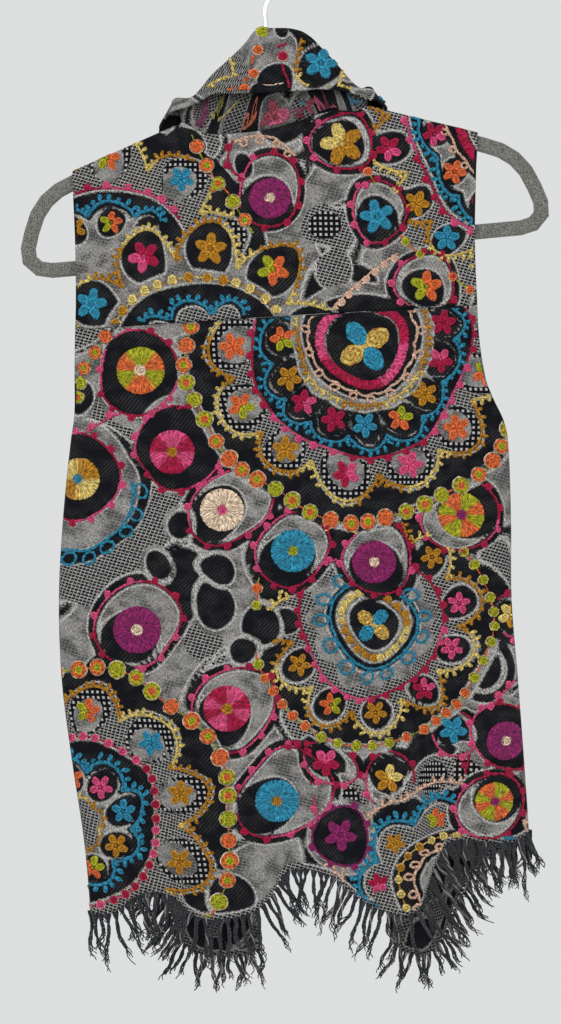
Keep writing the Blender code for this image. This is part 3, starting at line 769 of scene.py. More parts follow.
# Stitched thread. A table's places are millimetres across and up the panel, and its sizes are millimetres.
Ring = namedtuple("Ring", "kind radius swing lobes width spacing run first second")
LARGE_RINGS = [
    Ring("quatrefoil", 0, 0, 4, 24, 0, 0, "teal", "gold"),
    Ring("satin", 34, 0, 0, 8.4, 0, 60, "crimson", "pink"),
    Ring("loops", 42, 2.4, 15, 9.5, 18, 0, "peach", "peach"),
    Ring("picots", 53, 1, 26, 2.6, 6.4, 40, "gold", "pale"),
    Ring("flowers", 69, 0, 15, 21, 0, 0, "crimson", "teal"),
    Ring("picots", 77, 9.5, 15, 2.9, 6, 0, "teal", "teal"),
    Ring("knots", 92, 0, 0, 2.3, 14.5, 70, "crimson", "pink"),
    Ring("flowers", 108, 0, 13, 22.5, 0, 0, "pink", "orange"),
    Ring("picots", 105, 24, 13, 2.8, 6.2, 62, "gold", "pale"),
    Ring("beads", 146, 0, 0, 15, 16.6, 60, "lime", "orange"),
]
MIDDLE_RINGS = [
    Ring("quatrefoil", 0, 0, 4, 16.5, 0, 0, "gold", "teal"),
    Ring("knots", 25, 0, 0, 2.4, 7.6, 40, "gold", "pale"),
    Ring("loops", 35, 0, 0, 15.5, 16.5, 0, "teal", "teal"),
    Ring("knots", 59, 0, 0, 2.2, 12, 70, "crimson", "pink"),
    Ring("flowers", 73, 0, 11, 19, 0, 0, "pink", "gold"),
    Ring("picots", 69, 22, 11, 2.7, 6.2, 60, "gold", "pale"),
    Ring("beads", 99, 0, 0, 9.5, 13.5, 70, "lime", "orange"),
]
CORNER_RINGS = [
    Ring("picots", 20, 4, 7, 2.1, 5.6, 30, "gold", "pale"),
    Ring("flowers", 41, 0, 9, 20, 0, 0, "teal", "pink"),
    Ring("picots", 47, 13, 9, 3.4, 5.8, 0, "teal", "teal"),
    Ring("beads", 73, 0, 0, 8.2, 11, 62, "crimson", "pink"),
    Ring("flowers", 94, 0, 11, 21, 0, 0, "gold", "teal"),
    Ring("picots", 90, 27, 11, 2.8, 6.2, 84, "gold", "pale"),
    Ring("beads", 133, 0, 0, 15.5, 18, 60, "lime", "orange"),
]
HEM_RINGS = [
    Ring("loops", 29, 2, 7, 9, 12, 0, "peach", "peach"),
    Ring("beads", 42, 0, 0, 7.5, 12, 40, "gold", "pale"),
    Ring("flowers", 57, 0, 9, 17, 0, 0, "gold", "teal"),
    Ring("picots", 60, 13, 9, 3.4, 5.6, 0, "teal", "teal"),
    Ring("picots", 82, 4, 9, 2.6, 7.5, 0, "peach", "cream"),
]
SHOULDER_RINGS = [
    Ring("flowers", 24, 0, 5, 20, 0, 0, "pink", "crimson"),
    Ring("picots", 35, 9, 9, 3.1, 5.4, 0, "teal", "teal"),
    Ring("knots", 54, 0, 0, 2.4, 12.5, 66, "crimson", "pink"),
    Ring("flowers", 70, 0, 9, 20, 0, 0, "gold", "pale"),
    Ring("picots", 70, 18, 9, 2.7, 5.8, 66, "gold", "pale"),
]
ARCADE_RINGS = [
    Ring("flowers", 36, 0, 7, 17, 0, 0, "pink", "crimson"),
    Ring("picots", 45, 16, 9, 3.2, 5.6, 0, "teal", "teal"),
    Ring("beads", 78, 0, 0, 9.5, 13.8, 46, "gold", "pale"),
    Ring("flowers", 101, 0, 11, 27, 0, 0, "teal", "pink"),
    Ring("picots", 88, 36, 11, 2.8, 6.2, 62, "gold", "pale"),
]
ARM_RINGS = [
    Ring("flowers", 57, 0, 11, 19, 0, 0, "pink", "crimson"),
    Ring("picots", 63, 11, 11, 3.2, 5.8, 0, "teal", "teal"),
    Ring("knots", 84, 0, 0, 2.4, 15, 66, "crimson", "pink"),
    Ring("flowers", 107, 0, 11, 21, 0, 0, "gold", "teal"),
    Ring("picots", 98, 32, 11, 2.7, 6.2, 66, "gold", "pale"),
]
WIDE_RINGS = [
    Ring("satin", 77, 0, 0, 8.4, 0, 60, "crimson", "pink"),
    Ring("loops", 86, 2, 24, 8.5, 17, 0, "peach", "peach"),
    Ring("flowers", 101, 0, 18, 20, 0, 0, "orange", "crimson"),
    Ring("picots", 108, 7, 18, 3.2, 5.8, 0, "teal", "teal"),
    Ring("knots", 122, 0, 0, 2.4, 16, 60, "pink", "crimson"),
    Ring("flowers", 139, 0, 18, 22, 0, 0, "gold", "teal"),
    Ring("picots", 133, 22, 18, 2.8, 6.2, 62, "gold", "pale"),
    Ring("beads", 164, 0, 0, 8.4, 17, 60, "lime", "orange"),
]

# A zone fills a ring's inside, or a row of ovals on the ring where their size is given
Zone = namedtuple("Zone", "kind radius swing lobes oval", defaults=(0, 0, 0))
LARGE_ZONES = [
    Zone("dark", 142),
    Zone("twill", 108, 25, 13),
    Zone("check", 109, 0, 13, 18.5),
    Zone("marl", 105, 0, 13, 13),
    Zone("dark", 91),
    Zone("marl", 67, 0, 15, 13.5),
    Zone("dark", 67, 0, 15, 12.3),
    Zone("marl", 58, 3, 15),
    Zone("dark", 48),
    Zone("marl", 31),
    Zone("dark", 29),
]
MIDDLE_ZONES = [
    Zone("dark", 97),
    Zone("twill", 71, 23, 11),
    Zone("marl", 73, 0, 11, 13.6),
    Zone("dark", 73, 0, 11, 11.8),
    Zone("twill", 60),
    Zone("marl", 43, 11, 11),
    Zone("dark", 37),
    Zone("marl", 31),
    Zone("dark", 20),
]
CORNER_ZONES = [
    Zone("dark", 131),
    Zone("twill", 94, 28, 11),
    Zone("check", 95, 0, 11, 18),
    Zone("marl", 91, 0, 11, 12.5),
    Zone("dark", 70),
    Zone("marl", 43, 13, 9),
    Zone("dark", 41, 0, 9, 11.5),
    Zone("twill", 18, 4, 7),
]
HEM_ZONES = [
    Zone("dark", 79, 4, 9),
    Zone("twill", 57, 13, 9),
    Zone("dark", 46),
    Zone("marl", 25, 2, 7),
]
SHOULDER_ZONES = [
    Zone("dark", 95),
    Zone("twill", 74, 19, 9),
    Zone("check", 72, 0, 9, 16),
    Zone("marl", 69, 0, 9, 11.5),
    Zone("dark", 52),
    Zone("twill", 32, 9, 9),
    Zone("dark", 24, 0, 5, 11),
]
ARCADE_ZONES = [
    Zone("marl", 91, 38, 11),
    Zone("dark", 102, 0, 11, 19),
    Zone("marl", 85),
    Zone("dark", 73),
    Zone("twill", 41, 16, 9),
    Zone("marl", 24),
]
ARM_ZONES = [
    Zone("dark", 140),
    Zone("twill", 100, 33, 11),
    Zone("check", 109, 0, 11, 17.5),
    Zone("marl", 104, 0, 11, 12.5),
    Zone("dark", 81),
    Zone("marl", 59, 11, 11),
    Zone("dark", 56, 0, 11, 10.5),
]
WIDE_ZONES = [
    Zone("twill", 161),
    Zone("marl", 139, 0, 18, 15),
    Zone("dark", 139, 0, 18, 13),
    Zone("twill", 125),
    Zone("dark", 118),
    Zone("marl", 104, 7, 18),
    Zone("dark", 100, 0, 18, 10.5),
    Zone("dark", 91),
    Zone("twill", 72),
]
SPRAY_ZONES = [
    Zone("twill", 88, 7, 7),
    Zone("dark", 61),
    Zone("marl", 52),
]
DOME_ZONES = [
    Zone("marl", 56),
    Zone("dark", 45),
]
PATCH_ZONES = [
    Zone("twill", 19),
    Zone("check", 13),
]

Medallion = namedtuple("Medallion", "x z turn rings zones")
# An eye is a satin disc in a drop with a knotted line, or a flower where its centre has no colour. Its marl
# crescent lies within the line, or past it where its marl says "out". Its knots are the line's two dyes.
Eye = namedtuple(
    "Eye",
    "x z disc first second sectors centre reach stretch turn marl knots",
    defaults=("in", ("crimson", "pink")),
)
Sprig = namedtuple("Sprig", "x z size first second turn oval")
Run = namedtuple("Run", "kind width spacing run first second places")
# The first medallions lie over the eyes, as many as `over` says. Drops are eyes that come after them all.
Design = namedtuple("Design", "medallions over eyes sprigs drops runs")


def patch(x, z, kind, radius):
    """A round patch of one woven ground, with no thread on it."""
    return Medallion(x, z, 0, [], [Zone(kind, radius)])


def dark_oval(x, z, turn, size):
    """An oval of black weave in a rim of marl, with no flower on it."""
    return Sprig(x, z, 0, None, None, turn, size)


YOKE_DESIGN = Design(
    medallions=[
        Medallion(-52, -350, 2.96, ARCADE_RINGS, ARCADE_ZONES),
        Medallion(-135, -277, -0.42, ARM_RINGS, ARM_ZONES),
        Medallion(249, -130, -0.30, WIDE_RINGS, WIDE_ZONES),
        Medallion(88, -331, 0, [], DOME_ZONES),
        Medallion(54, -228, 0, [], PATCH_ZONES),
        patch(62, -268, "twill", 16),
        patch(-62, -160, "dark", 14),
        patch(-51, -184, "dark", 14),
        patch(-38, -208, "dark", 14),
        patch(-22, -230, "dark", 14),
    ],
    over=1,
    eyes=[
        Eye(8.5, -206, 36, "purple", "purple", 0, "cream", 24, 1.45, 1.2),
        Eye(68.8, -159.6, 36, "gold", "pale", 0, None, 26, 1.06, 0.2),
        Eye(98, -221.6, 29, "teal", "teal", 0, None, 22, 1.35, 1.4),
        Eye(139.1, -280.2, 27, "orange", "lime", 0, None, 23, 1.30, 1.1),
    ],
    sprigs=[
        dark_oval(-14, -178, 0.2, 8),
    ],
    drops=[],
    runs=[
        Run(
            "beads", 13.5, 19, 38, "orange", "lime",
            [(-57, -152), (-47, -174), (-37, -191), (-24, -206), (2, -246)],
        ),
        Run("knots", 2.3, 13, 60, "crimson", "pink", [(-23, -157), (-27, -174), (-17, -187), (0, -176)]),
        Run("knots", 2.3, 13, 60, "crimson", "pink", [(92, -128), (78, -132), (62, -139)]),
        Run("knots", 2.3, 11, 60, "pink", "crimson", [(84, -180), (91, -190), (88, -200)]),
        Run(
            "knots", 2.3, 13, 60, "crimson", "pink",
            [(112, -240), (124, -247), (128, -260), (122, -300)],
        ),
        Run("loops", 8.5, 15, 0, "peach", "peach", [(-22, -158), (-4, -153), (14, -156), (30, -170)]),
        Run("knots", 2.4, 9.5, 0, "peach", "cream", [(58, -303), (72, -287), (88, -273), (115, -253)]),
        Run("picots", 2.3, 7, 0, "gold", "gold", [(-160, -243), (-136, -236), (-116, -238)]),
    ],
)
PANEL_DESIGN = Design(
    medallions=[
        Medallion(87.5, -330.6, 0, LARGE_RINGS, LARGE_ZONES),
        Medallion(-153.5, -732.9, 0.1, CORNER_RINGS, CORNER_ZONES),
        Medallion(144, -690, 0, [], PATCH_ZONES),
        Medallion(173, -684, 0, [], PATCH_ZONES),
        Medallion(72, -706, 0, [], PATCH_ZONES),
        patch(-46, -574, "twill", 16),
        Medallion(94.6, -562.5, 0.25, MIDDLE_RINGS, MIDDLE_ZONES),
        Medallion(-153, -448, 0.1, [], SPRAY_ZONES),
        Medallion(158, -776, 0.4, HEM_RINGS, HEM_ZONES),
    ],
    over=2,
    eyes=[
        Eye(-99.5, -350.6, 41, "orange", "lime", 3, "cream", 33, 1.18, -0.7, "out"),
        Eye(-72.9, -418.7, 38, "crimson", "pink", 3, "gold", 30, 1.30, 0.6, "out"),
        Eye(-31.3, -466.9, 37, "cream", "cream", 0, "pink", 29, 1.30, 0.5),
        Eye(27.7, -501, 37, "teal", "teal", 0, "lime", 28, 1.25, 1.2),
        Eye(95, -510.1, 37, "purple", "purple", 0, "cream", 28, 1.20, 1.6),
        Eye(168, -471, 39, "orange", "lime", 4, "purple", 28, 1.28, -2.5),
        Eye(-151.7, -441, 37, "gold", "pale", 2, "teal", 34, 1.25, 1.4, "out"),
        Eye(-102, -566.6, 41, "purple", "purple", 0, "cream", 32, 1.35, 0.9),
        Eye(-27, -632, 40, "crimson", "pink", 4, "gold", 32, 1.32, 0.7),
        Eye(14.4, -708.8, 37, "teal", "teal", 0, "gold", 29, 1.75, 0.55),
        Eye(205.5, -659.7, 34, "purple", "purple", 0, "cream", 27, 1.2, 2.6, "out"),
        Eye(195.5, -709.6, 33, "orange", "lime", 4, "purple", 25, 1.2, -2.2),
        Eye(67, -736, 27, "purple", "purple", 0, None, 22, 1.2, -0.6, "out", ("purple", "purple")),
    ],
    sprigs=[
        dark_oval(2, -563, 0, 15),
        dark_oval(-36, -546, 0, 17),
        dark_oval(-84, -512, 0.3, 10),
        dark_oval(-150, -372, 0, 12),
        dark_oval(-66, -480, 0.1, 9),
        dark_oval(-34, -516, 1.5, 12),
        dark_oval(-14, -584, 0.9, 9),
        dark_oval(-24, -788, 0.9, 17),
    ],
    drops=[
        Eye(55, -676, 23, "crimson", "pink", 0, None, 19, 1.25, -0.7),
        Eye(107, -690, 24, "gold", "pale", 0, None, 20, 1.40, -1.5),
        Eye(161, -650, 23, "teal", "teal", 0, None, 20, 1.10, -0.6),
        Eye(186, -600, 22, "orange", "lime", 0, None, 19, 1.10, -0.4),
        Eye(210, -555, 22, "gold", "pale", 0, None, 18, 1.10, 0.6),
    ],
    runs=[
        Run(
            "beads", 12.5, 15, 40, "orange", "lime",
            [(-124, -316), (-136, -333), (-149, -352), (-154, -378)],
        ),
        Run(
            "knots", 2.3, 13, 60, "pink", "crimson",
            [(-58, -318), (-44, -340), (-50, -372), (-76, -388)],
        ),
        Run(
            "knots", 2.3, 13, 60, "pink", "crimson",
            [(-104, -386), (-122, -388), (-136, -396), (-146, -402)],
        ),
        Run(
            "loops", 16, 16, 0, "teal", "teal",
            [(-166, -500), (-142, -500), (-118, -484), (-106, -462), (-107, -443)],
        ),
        Run("picots", 2.6, 7.5, 0, "peach", "cream", [(44, -732), (58, -758), (76, -778), (98, -792)]),
        Run("knots", 2.3, 12, 58, "crimson", "pink", [(18, -664), (34, -662), (44, -700), (48, -742)]),
        Run(
            "knots", 2.3, 12, 58, "pink", "crimson",
            [(214, -610), (196, -628), (176, -668), (170, -700), (172, -730)],
        ),
    ],
)
FRONT_DESIGN = Design(
    medallions=[
        Medallion(-20, -470, 0, LARGE_RINGS, LARGE_ZONES),
        Medallion(206, -395, 0, LARGE_RINGS, LARGE_ZONES),
        Medallion(-152, -300, 0.2, MIDDLE_RINGS, MIDDLE_ZONES),
        Medallion(-160, -700, 0.1, CORNER_RINGS, CORNER_ZONES),
        Medallion(120, -640, 0.25, MIDDLE_RINGS, MIDDLE_ZONES),
        Medallion(232, -130, 0.1, WIDE_RINGS, WIDE_ZONES),
        Medallion(-10, -800, 0.1, SHOULDER_RINGS, SHOULDER_ZONES),
        Medallion(150, -810, 0.4, SHOULDER_RINGS, SHOULDER_ZONES),
    ],
    over=2,
    eyes=[
        Eye(-48, -268, 38, "crimson", "pink", 3, "gold", 28, 1.30, 0.6),
        Eye(-96, -196, 36, "teal", "teal", 0, "lime", 27, 1.25, 1.2),
        Eye(-140, -416, 38, "purple", "purple", 0, "cream", 29, 1.25, 0.9),
        Eye(-44, -656, 40, "orange", "lime", 4, "purple", 30, 1.32, 0.7),
        Eye(-100, -560, 36, "cream", "cream", 0, "pink", 26, 1.2, 0.9),
        Eye(86, -262, 37, "teal", "teal", 0, "gold", 27, 1.3, 0.8),
        Eye(200, -560, 34, "crimson", "pink", 4, "gold", 27, 1.2, 2.2),
        Eye(76, -520, 36, "purple", "purple", 0, "cream", 26, 1.2, 1.5),
        Eye(200, -716, 34, "orange", "lime", 4, "purple", 27, 1.2, 2.6),
    ],
    sprigs=[
        Sprig(-118, -158, 22, "gold", "pale", 0.3, 16),
        Sprig(-58, -330, 24, "orange", "lime", 0.1, 17),
        Sprig(-88, -640, 22, "teal", "teal", 0.6, 16),
        Sprig(66, -210, 20, "teal", "teal", 0.5, 14),
    ],
    drops=[
        Eye(62, -330, 22, "gold", "pale", 0, None, 19, 1.2, 0.4),
        Eye(-58, -724, 24, "crimson", "pink", 0, None, 20, 1.3, 0.9),
    ],
    runs=[
        Run(
            "knots", 2.3, 12, 60, "crimson", "pink",
            [(-76, -160), (-64, -200), (-74, -236), (-100, -240)],
        ),
        Run("beads", 12, 14.5, 40, "lime", "orange", [(66, -440), (72, -470), (66, -490), (60, -560)]),
    ],
)
# On the collar the places are millimetres across and down the cloth laid flat, from the fold's middle at the
# back. The fold itself runs down to the sides.
COLLAR_DESIGN = Design(
    medallions=[
        # Black weave at the foot of the fall: the cloth's own black patch, and beside the fall's lower edge a
        # band that is painted shadow
        patch(3, 53, "dark", 15),
        patch(28, 72, "dark", 13),
        patch(50, 74, "dark", 11),
        patch(-10, 64, "dark", 11),
        patch(12, 10, "dark", 5),
        patch(3, 27, "marl", 23),
        patch(22, 48, "marl", 17),
        patch(-32, 42, "twill", 32),
        patch(1, -69, "marl", 17),
        patch(27, -62, "twill", 15),
        patch(-34, -22, "twill", 17),
        patch(-50, 14, "dark", 17),
        # Black patches on the stand: painted shade under the fall, together with some of the stand's own dark
        # weave
        patch(-17, -50, "dark", 19),
        patch(44, -24, "dark", 19),
        patch(68, 46, "twill", 15),
        Medallion(-118, 112, 0.3, SHOULDER_RINGS[:2], SHOULDER_ZONES[4:]),
        Medallion(114, 110, 0.3, SHOULDER_RINGS[:2], SHOULDER_ZONES[4:]),
    ],
    over=0,
    eyes=[
        Eye(-156, 130, 30, "purple", "purple", 0, "cream", 22, 1.2, 0.9),
        Eye(148, 134, 30, "crimson", "pink", 3, "gold", 22, 1.2, 0.9),
    ],
    sprigs=[
        Sprig(41, 42, 27, "teal", "teal", 1.3, 18),
    ],
    drops=[],
    runs=[
        Run("beads", 11, 30, 0, "lime", "lime", [(-4, 6), (-4, 12)]),
        Run("beads", 9.5, 50, 0, "orange", "orange", [(-9, 22), (-9, 27)]),
        Run("beads", 9.5, 50, 0, "orange", "orange", [(-15, 42), (-14, 47)]),
        Run("beads", 10.5, 50, 0, "orange", "orange", [(-25, 55), (-22, 60)]),
        Run("beads", 10, 50, 0, "crimson", "crimson", [(10, 30), (12, 34)]),
        Run(
            "line", 2.6, 0, 0, "orange", "orange",
            [(-10, 15), (-11, 24), (-15, 35), (-15, 44), (-21, 50), (-38, 60)],
        ),
        Run("line", 2.4, 0, 0, "crimson", "crimson", [(15, 22), (8, 25), (10, 40), (14, 56), (14, 62)]),
        Run("picots", 2.4, 7, 0, "gold", "gold", [(28, 19), (24, 30), (21, 41), (20, 48)]),
        Run("picots", 2.8, 5, 0, "pale", "pale", [(20, 50), (26, 58), (36, 63), (44, 68)]),
        Run("picots", 2.4, 8, 0, "pale", "pale", [(57, 50), (54, 58), (52, 65), (57, 67), (62, 65)]),
        Run("picots", 2.4, 9, 0, "pale", "pale", [(-32, 30), (-31, 45), (-40, 47), (-52, 54)]),
        Run("line", 0.9, 0, 0, "cream", "cream", [(-8, 55), (0, 56), (10, 55)]),
    ],
)
# Thread that shows through on the collar's wrong side, which the stand turns outward
STAND_DESIGN = Design(
    medallions=[],
    over=0,
    eyes=[],
    sprigs=[
        Sprig(1, -70, 27, "pink", "crimson", 0.5, 15),
        Sprig(-60, 34, 17, "purple", "purple", 0.2, 9),
        Sprig(-45, 10, 9, "lime", "lime", 0.2, 5),
        Sprig(21, -63, 9, "crimson", "pink", 0.2, 5),
        Sprig(45, -14, 9, "crimson", "crimson", 0.9, 5),
    ],
    drops=[],
    runs=[
        Run("loops", 9, 12, 0, "orange", "orange", [(-15, -52), (-20, -46), (-29, -38)]),
        Run(
            "knots", 2.2, 16, 40, "crimson", "pink",
            [(12, -66), (26, -55), (38, -32), (48, -10), (60, 20)],
        ),
        Run("line", 1.8, 0, 0, "pale", "pale", [(-54, 22), (-48, 4), (-40, -5), (-29, -13)]),
        Run("picots", 2.4, 5, 0, "teal", "teal", [(62, 40), (68, 49), (72, 55)]),
        Run("line", 2.6, 0, 0, "teal", "teal", [(22, -54), (30, -50)]),
    ],
)

# Woven shapes of an eye: black past its line, marl past it or within it, black round its disc, and how far
# the marl's crescent is shifted where a disc or a flower fills the eye
EYE_MARGIN = 5.0
EYE_MARL = 7.0
EYE_RIM = 1.6
DISC_MARGIN = 3.5
EYE_SHIFT = 5.5
FLOWER_SHIFT = 1.5
FLOWER_INSET = 6
# Marl round a dark oval, an oval's length for its width, room past a medallion's rings, and the hem's band
OVAL_MARL = 4.5
OVAL_LENGTH = 1.22
MEDALLION_MARGIN = 6
HEM_BAND = 5.5
# Steps of thread: between an eye's knots, a cord's points, chain stitches and strands, and how far it frays
EYE_KNOTS = 18.0
LINE_STEP = 1.7
STITCH_LENGTH = 3.4
STRAND_PITCH = 1.15
FRAY = 0.30
PATH_POINTS = 14
# How far what is sewn first keeps later thread away: past an eye's line and an oval, and in bead widths
EYE_CLEARANCE = 3
OVAL_CLEARANCE = 1
BEAD_CLEARANCE = 0.45


def lobed(angle, radius, swing, lobes, turn):
    """Radius of a ring at an angle: a circle, or scallops that swing out from it."""
    return radius + swing * np.abs(np.sin(lobes * angle / 2 + turn)) ** 0.75


def lobe_turn(lobes, turn):
    """Angle of the middle of the first lobe."""
    return (math.pi / 2 - turn) * 2 / lobes


def drop_shape(angle, reach, stretch, turn):
    """Radius of a teardrop at an angle, drawn out towards its turn."""
    return reach * (1 + (stretch - 1) * ((1 + np.cos(angle - turn)) / 2) ** 3)


def wander(x, z):
    """How far the hand that drew the design strayed at a place, across and up."""
    across = 3.0 * np.sin(z / 19 + 1.2 * np.sin(x / 31)) + 1.2 * np.sin(x / 9.5 + 0.8 * np.sin(z / 13))
    up = 3.0 * np.sin(x / 21 + 1.4 * np.sin(z / 27)) + 1.2 * np.sin(z / 10.5 + 0.9 * np.sin(x / 12))
    return across, up


def strayed(points):
    """Flat points where the hand really put them."""
    return points + np.stack(wander(points[..., 0], points[..., 1]), -1)


def settled(design):
    """A design drawn so that, once the hand has strayed, each motif lies at its own place."""

    def drawn(x, z):
        at = (x, z)
        for _ in range(12):
            across, up = wander(*at)
            at = (x - across, z - up)
        return at

    def moved(motifs):
        placed = [(motif, drawn(motif.x, motif.z)) for motif in motifs]
        return [motif._replace(x=float(at[0]), z=float(at[1])) for motif, at in placed]

    return design._replace(
        medallions=moved(design.medallions),
        eyes=moved(design.eyes),
        sprigs=moved(design.sprigs),
        drops=moved(design.drops),
        runs=[run._replace(places=[drawn(x, z) for x, z in run.places]) for run in design.runs],
    )


def frayed(points):
    """Flat points moved a little, stitch by stitch, so that no edge of thread runs clean."""
    x, z = points[..., 0], points[..., 1]
    across = np.sin(2.3 * x + 1.7 * np.sin(1.3 * z)) + 0.7 * np.sin(3.9 * z + 1.1 * x)
    up = np.sin(2.6 * z + 1.5 * np.sin(1.1 * x)) + 0.7 * np.sin(4.3 * x - 1.3 * z)
    return points + FRAY * np.stack([across, up], -1)


def lay_ground(design, x, z, base):
    """Paints a design's woven shapes over a ground. Each channel holds a distance, below 0 inside."""
    across, up = wander(x, z)
    x = x - across
    z = z - up
    channels = {name: values.copy() for name, values in base.items()}

    def paint(kind, distance):
        for name, values in channels.items():
            channels[name] = np.minimum(values, distance) if name == kind else np.maximum(values, -distance)

    def polar(at_x, at_z):
        return np.hypot(x - at_x, z - at_z), np.arctan2(z - at_z, x - at_x)

    for motif in reversed(design.medallions):
        distance, angle = polar(motif.x, motif.z)
        for zone in motif.zones:
            if zone.oval:
                between = 2 * np.pi / zone.lobes
                turned = angle - lobe_turn(zone.lobes, motif.turn)
                fold = (turned + between / 2) % between - between / 2
                outward = distance * np.cos(fold) - zone.radius
                aside = distance * np.sin(fold)
                paint(zone.kind, np.hypot(outward / OVAL_LENGTH, aside) - zone.oval)
            else:
                paint(zone.kind, distance - lobed(angle, zone.radius, zone.swing, zone.lobes, motif.turn))

    def paint_eye(eye, over):
        keep = depth_inside(over, x, z)
        distance, angle = polar(eye.x, eye.z)
        edge = drop_shape(angle, eye.reach, eye.stretch, eye.turn)
        shift = EYE_SHIFT if eye.centre else FLOWER_SHIFT
        if eye.marl == "out":
            outer, _ = polar(eye.x + shift * math.cos(eye.turn), eye.z + shift * math.sin(eye.turn))
            paint("marl", np.maximum(outer - edge - EYE_MARL, keep))
            paint("dark", np.maximum(distance - edge, keep))
            return
        paint("dark", np.maximum(distance - edge - EYE_MARGIN, keep))
        paint("marl", np.maximum(distance - edge + EYE_RIM, keep))
        inner, _ = polar(eye.x - shift * math.cos(eye.turn), eye.z - shift * math.sin(eye.turn))
        dark_reach = eye.disc / 2 + DISC_MARGIN
        if not eye.centre:
            dark_reach = max(dark_reach, eye.reach - FLOWER_INSET)
        paint("dark", np.maximum(inner - dark_reach, keep))

    for eye in design.eyes:
        paint_eye(eye, design.medallions[: design.over])
    for sprig in design.sprigs:
        off_x = (x - sprig.x) * math.cos(sprig.turn) + (z - sprig.z) * math.sin(sprig.turn)
        off_z = (z - sprig.z) * math.cos(sprig.turn) - (x - sprig.x) * math.sin(sprig.turn)
        distance = np.hypot(off_x, off_z / OVAL_LENGTH) - sprig.oval
        paint("marl", distance - OVAL_MARL)
        paint("dark", distance)
    for drop in design.drops:
        paint_eye(drop, design.medallions)
    return channels


def bound_hem(channels, height):
    """A ground with the hem's overcast edge, a narrow hatched band above the cut line."""
    bound = {name: np.maximum(values, HEM_BAND - height) for name, values in channels.items()}
    bound["twill"] = np.minimum(channels["twill"], height - HEM_BAND)
    return bound


def reach_of(medallion):
    """How far a medallion's thread reaches, or its woven shapes where it has no thread."""
    reach = max(part.radius + 0.8 * part.swing for part in medallion.rings or medallion.zones)
    return reach + MEDALLION_MARGIN


def depth_inside(medallions, x, z):
    """How deep a place lies inside the medallions, below 0 outside them all."""
    depth = np.full(np.shape(x), -1000.0)
    for motif in medallions:
        depth = np.maximum(depth, reach_of(motif) - np.hypot(x - motif.x, z - motif.z))
    return depth


def thread_colour(name):
    return np.array(linear(THREADS[name])[:3])


def mixed(first, second, share):
    """A share of one dye and the rest of another."""
    return thread_colour(first) * share + thread_colour(second) * (1 - share)


def in_turn(length, run, first, second):
    """Colours along a thread that changes between two dyes every run of its length."""
    if run <= 0 or first == second:
        return np.broadcast_to(thread_colour(first), (len(length), 3))
    return mixed(first, second, ease((np.sin(2 * np.pi * length / (2 * run)) + 0.15) / 0.3)[:, None])


def evenly(path, step, closed=False):
    """A path's points at even steps, with the distance along it and the direction to its left."""
    if closed:
        path = np.concatenate([path, path[:1]])
    lengths = np.concatenate([[0], np.cumsum(np.linalg.norm(np.diff(path, axis=0), axis=1))])
    count = max(2, round(lengths[-1] / step))
    at = np.linspace(0, lengths[-1], count + 1)
    points = np.stack([np.interp(at, lengths, path[:, k]) for k in (0, 1)], axis=-1)
    ahead = unit(np.gradient(points, axis=0))
    if closed:
        ends = unit(points[1] - points[-2])
        ahead[0] = ends
        ahead[-1] = ends
    return points, at, np.stack([-ahead[:, 1], ahead[:, 0]], axis=-1)


def smooth_path(places):
    """A smooth path through a few places."""
    places = np.asarray(places, float)
    before = np.concatenate([2 * places[:1] - places[1:2], places])
    after = np.concatenate([places, 2 * places[-1:] - places[-2:-1]])
    slopes = (after[1:] - before[:-1]) / 2
    t = np.linspace(0, 1, PATH_POINTS)[:, None]
    pieces = [curve(t, places[k], slopes[k], places[k + 1], slopes[k + 1]) for k in range(len(places) - 1)]
    return np.concatenate([piece[:-1] for piece in pieces] + [places[-1:]])


# Cross-sections of a cord and of a satin band: places across as shares of half the width, and how high
CORD_ACROSS = (-1.0, -0.62, 0.0, 0.62, 1.0)
CORD_RISE = (-0.3, 0.62, 1.0, 0.62, -0.3)
CORD_HEIGHT = 0.62
CORD_SWELL = 0.16
CORD_SLANT = 0.7
SATIN_ACROSS = (-1.0, -0.85, -0.4, 0.4, 0.85, 1.0)
SATIN_RISE = (-0.3, 0.9, 1.4, 1.4, 0.9, -0.3)


